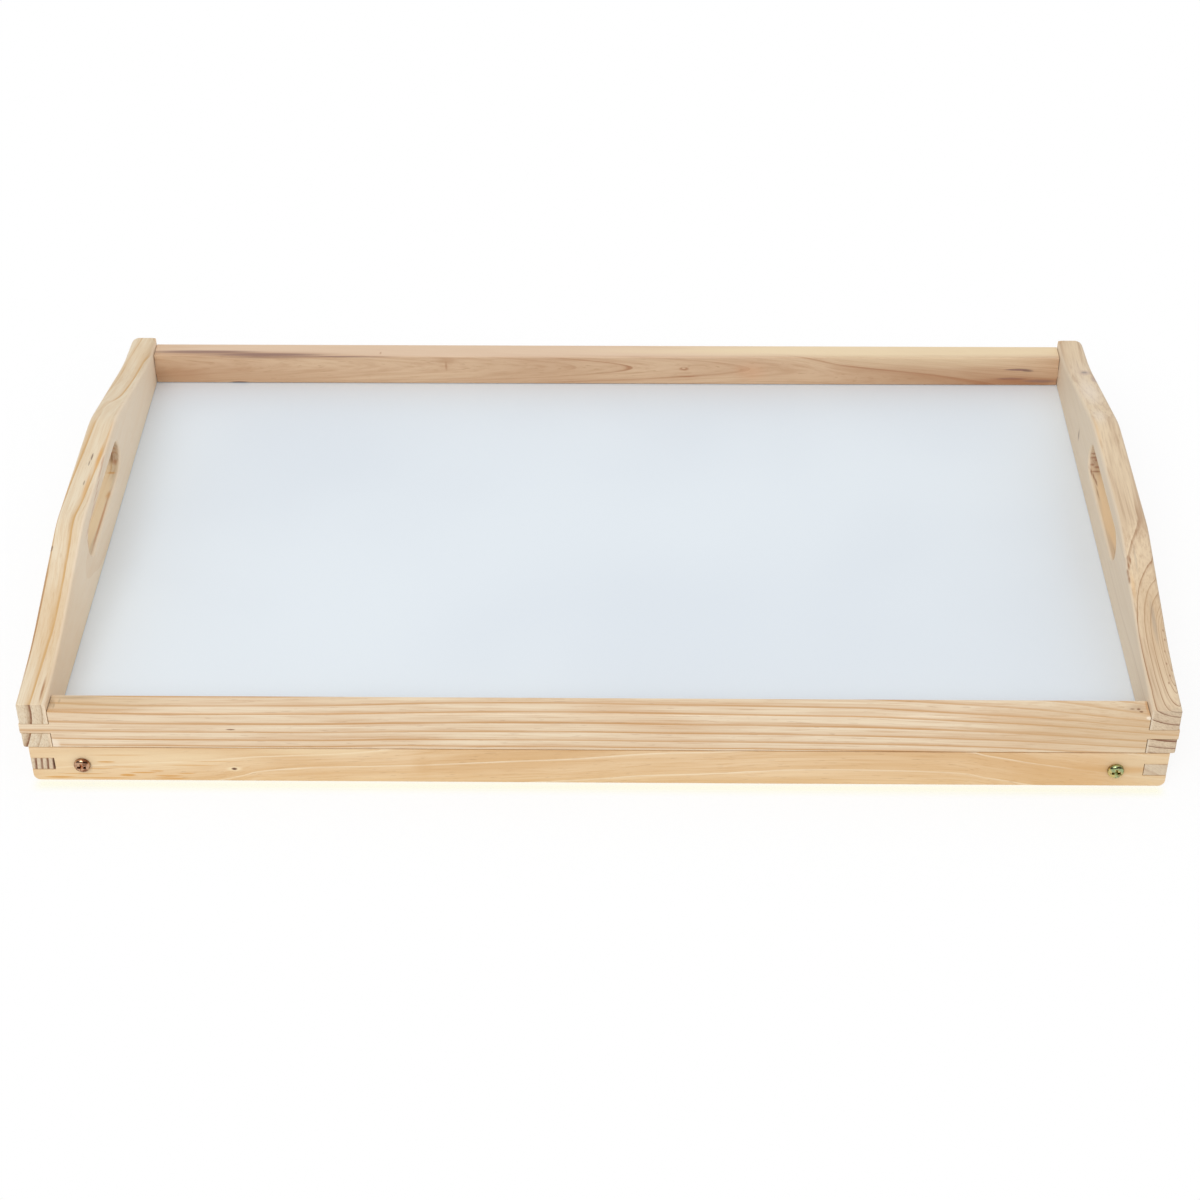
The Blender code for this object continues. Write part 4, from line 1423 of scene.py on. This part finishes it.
def zinc(name, first, second, third, roughness):
    """A plated metal that drifts between three colours."""
    made, shader = new_material(name)
    spot = flows(place("ShaderNodeTexCoord"))["Object"]
    broad = noise(spot, broad_scale, 1.0)
    small = noise(spot, small_scale, 1.0)
    plate = tint(ramp(broad, *first_drift), first, second)
    feed(shader.inputs["Base Color"], tint(ramp(small, *second_drift), plate, third))
    feed(shader.inputs["Metallic"], 1.0)
    feed(shader.inputs["Roughness"], ramp(small, *gloss_band, roughness, roughness + gloss_drift))
    return made


# On the yellow zinc, the lighter and the dull brown patches are partly painted highlight and painted dark
# reflection.
zinc_left = zinc("yellow_zinc_left", rose_film_and_painted_highlight, bronze, dark_film_and_painted_reflection, 0.12)
zinc_right = zinc("yellow_zinc_right", gold, green, dark_film_and_painted_reflection, 0.12)
zinc_plain = zinc("plain_zinc", steel_blue, steel_grey, steel_pale, 0.32)
print("materials:", zinc_left.name, zinc_right.name, zinc_plain.name)

# %% [markdown]
# ## Placing the fasteners
# Every fastener sits in a row along the front and in the same row along the back. One geometry tree lays
# out both rows and puts a fastener on each point, turned to face out of the wood. The result is made real
# and becomes one mesh for each body, because the screws of a leg frame turn with it.

# %% Fastener rows
def row_tree():
    tree, given, out = new_group(
        "fastener rows", "Geometry",
        {"Geometry": "Geometry", "Count": 1, "First": 0.0, "Step": 0.0, "Reach": 0.15, "Height": 0.0,
         "Front Turn": "Vector", "Back Turn": "Vector", "Metal": "Material"},
        {"Geometry": "Geometry"})
    tree.is_modifier = True
    rows = []
    for side, turn in ((-1.0, "Front Turn"), (1.0, "Back Turn")):
        start = combine(given["First"], given["Reach"] * side, given["Height"])
        line = flow("GeometryNodeMeshLine",
                    {"Count": given["Count"], "Start Location": start,
                     "Offset": combine(given["Step"], 0.0, 0.0)}, mode="OFFSET", count_mode="TOTAL")
        rows.append(flow("GeometryNodeInstanceOnPoints",
                         {"Points": line, "Instance": given["Geometry"], "Rotation": given[turn]}))
    finish_tree(out, join(*rows), given["Metal"])
    return tree


rows_rule = row_tree()
out_front, out_back, down = (quarter, 0.0, 0.0), (-quarter, 0.0, 0.0), (math.pi, 0.0, 0.0)


def fasten(name, source, material, body, replaced, slot, **values):
    """Lay a fastener out in its rows and hand the mesh to its body."""
    made = add_object(name, source.data.copy())
    rule = made.modifiers.new("Rows", "NODES")
    rule.node_group = rows_rule
    set_inputs(rule, Metal=material, **values)
    mesh = settle(made).data
    bpy.data.objects.remove(made, do_unlink=True)
    dress(name, mesh, material, body, replaced)


for side, metal in (("left", zinc_left), ("right", zinc_right)):
    low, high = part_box("pivot_screw_" + side + "_front")
    pivot = (low + high) / 2
    for kind, source, plate, slot, reach in (
            ("screw", pan, metal, "yellow_zinc", screw_seat),
            ("washer", ring_washer, zinc_plain, "plain_zinc", -washer_high.y)):
        replaced = ["pivot_" + kind + "_" + side + "_" + word for word in ("front", "back")]
        fasten("pivot_" + kind + "s_" + side, source, plate, "leg_frame_" + side, replaced, slot,
               First=pivot.x, Reach=reach, Height=pivot.z, Front_Turn=out_front, Back_Turn=out_back)
middle = (sunk_low + sunk_high) / 2
replaced = ["frame_screw_" + side + "_" + word
            for side in ("front", "back") for word in ("left", "middle", "right")]
fasten("frame_screws", sunk, zinc_plain, "tray", replaced, "plain_zinc", Count=3, First=middle.x,
       Step=-middle.x, Reach=-middle.y, Height=sunk_low.z, Front_Turn=down, Back_Turn=down)
for source in (pan, ring_washer, sunk):
    bpy.data.objects.remove(source, do_unlink=True)
print("fasteners placed")

# %% [markdown]
# ## Floor
# The photograph has a white sweep. A pale film on the ground shows a faint contact shadow close to the tray,
# and fades out within a hand's breadth. Under the tray's front edge, a warm glow is painted into the film's
# colour as painted bounce light from the wood. The film lets the white world through, so the legs still
# show when they swing down and the underside still gets light. Seen from below, the film is clear.

# %% Floor
floor_reach = 4.0
film_share = 0.16
floor_drop = 0.1 * mm
film_fade = 90 * mm
film_pale = (1.0, 1.0, 1.0)
# Painted bounce light: a warm tint in the film under the tray's front edge.
painted_bounce_tone = (1.0, 0.99, 0.45)
painted_bounce_share = 0.14
painted_bounce_depth = 7 * mm


def add_floor():
    made, shader = new_material("floor")
    Bench.tree.nodes.remove(shader)
    facing = 1.0 - flows(place("ShaderNodeNewGeometry"))["Backfacing"]
    spot = flows(place("ShaderNodeTexCoord"))["Object"]
    outside = calc("MAXIMUM", abs(spot) - (cad_high.x, cad_high.y, 1.0), (0.0, 0.0, 0.0))
    near = ramp(calc("LENGTH", outside), 0.0, film_fade, film_share, 0.0)
    x, y, z = split(spot)
    # Painted bounce light: the film turns warm just under the front edge, where light off the wood would
    # fall.
    painted_bounce = (ramp(abs(y - cad_low.y), 0.0, painted_bounce_depth, 1.0, 0.0)
            * ramp(abs(x), cad_high.x - painted_bounce_depth, cad_high.x, 1.0, 0.0))
    film = place("ShaderNodeBsdfDiffuse", {"Color": tint(painted_bounce, film_pale, painted_bounce_tone)})
    mix_shaders(Bench.tree.nodes["Material Output"].inputs["Surface"], facing * (near + painted_bounce * painted_bounce_share),
                place("ShaderNodeBsdfTransparent"), film)
    builder = bmesh.new()
    bmesh.ops.create_grid(builder, x_segments=1, y_segments=1, size=floor_reach / 2)
    bmesh.ops.translate(builder, verts=builder.verts, vec=(0, 0, -floor_drop))
    floor = add_object("floor", to_mesh("floor", builder))
    floor.data.materials.append(made)
    floor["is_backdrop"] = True
    return floor


print("stage:", add_floor().name)

# %% [markdown]
# ## Light
# The light is broad and soft, so an even world does most of it, and one large lamp above the camera gives
# it a direction. The camera sees the world as plain white, whatever the level of its light. The studio
# behind the camera is dark at eye level, which only the screw heads mirror.

# %% Light
world_level = 0.74
world_colour = (0.97, 0.985, 1.0, 1.0)
white = (1.0, 1.0, 1.0, 1.0)
key_power = 58.0
key_size = 2.4
key_place = Vector((-0.7, -2.7, 2.7))
key_colour = (1.0, 0.985, 0.96)
dark_level = 0.06
dark_foot = (0.05, 0.2)
dark_head = (0.6, 0.8)
dark_side = (-0.2, 0.1)


def add_world():
    """Light the scene evenly. The camera sees plain white, and mirrors see a dark band behind the camera."""
    world = bpy.data.worlds.new("studio")
    world.use_nodes = True
    Bench.tree = world.node_tree
    lit = Bench.tree.nodes["Background"]
    feed(lit.inputs["Color"], world_colour)
    feed(lit.inputs["Strength"], world_level)
    path = flows(place("ShaderNodeLightPath"))
    glossy = path["Is Glossy Ray"]
    x, y, z = split(flows(place("ShaderNodeTexCoord"))["Generated"])
    dark = ramp(z, *dark_foot) * ramp(z, *dark_head, 1.0, 0.0) * ramp(y, *dark_side, 1.0, 0.0)
    seen = place("ShaderNodeBackground", {"Color": white,
                                          "Strength": ramp(dark * glossy, 0.0, 1.0, 1.0, dark_level)})
    shown = calc("MAXIMUM", calc("MAXIMUM", path["Is Camera Ray"], path["Is Transmission Ray"]), glossy)
    mix_shaders(Bench.tree.nodes["World Output"].inputs["Surface"], shown, lit, seen)
    scene.world = world


def add_key():
    """One large, soft lamp above the camera, aimed at the tray."""
    data = bpy.data.lights.new("key", "AREA")
    data.shape = "DISK"
    data.size = key_size
    data.energy = key_power
    data.color = key_colour
    key = add_object("key", data)
    key.location = key_place
    key.rotation_mode = "QUATERNION"
    key.rotation_quaternion = (-key_place).to_track_quat("-Z", "Y")


add_world()
add_key()
scene.view_settings.view_transform = "Standard"

# %% [markdown]
# ## Size and finish
# The box round the dressed model is printed, like the solids' box at the start, so the two can be compared.

# %% Size and finish
low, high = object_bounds()
print("visual size", [round(side, 4) for side in high - low])
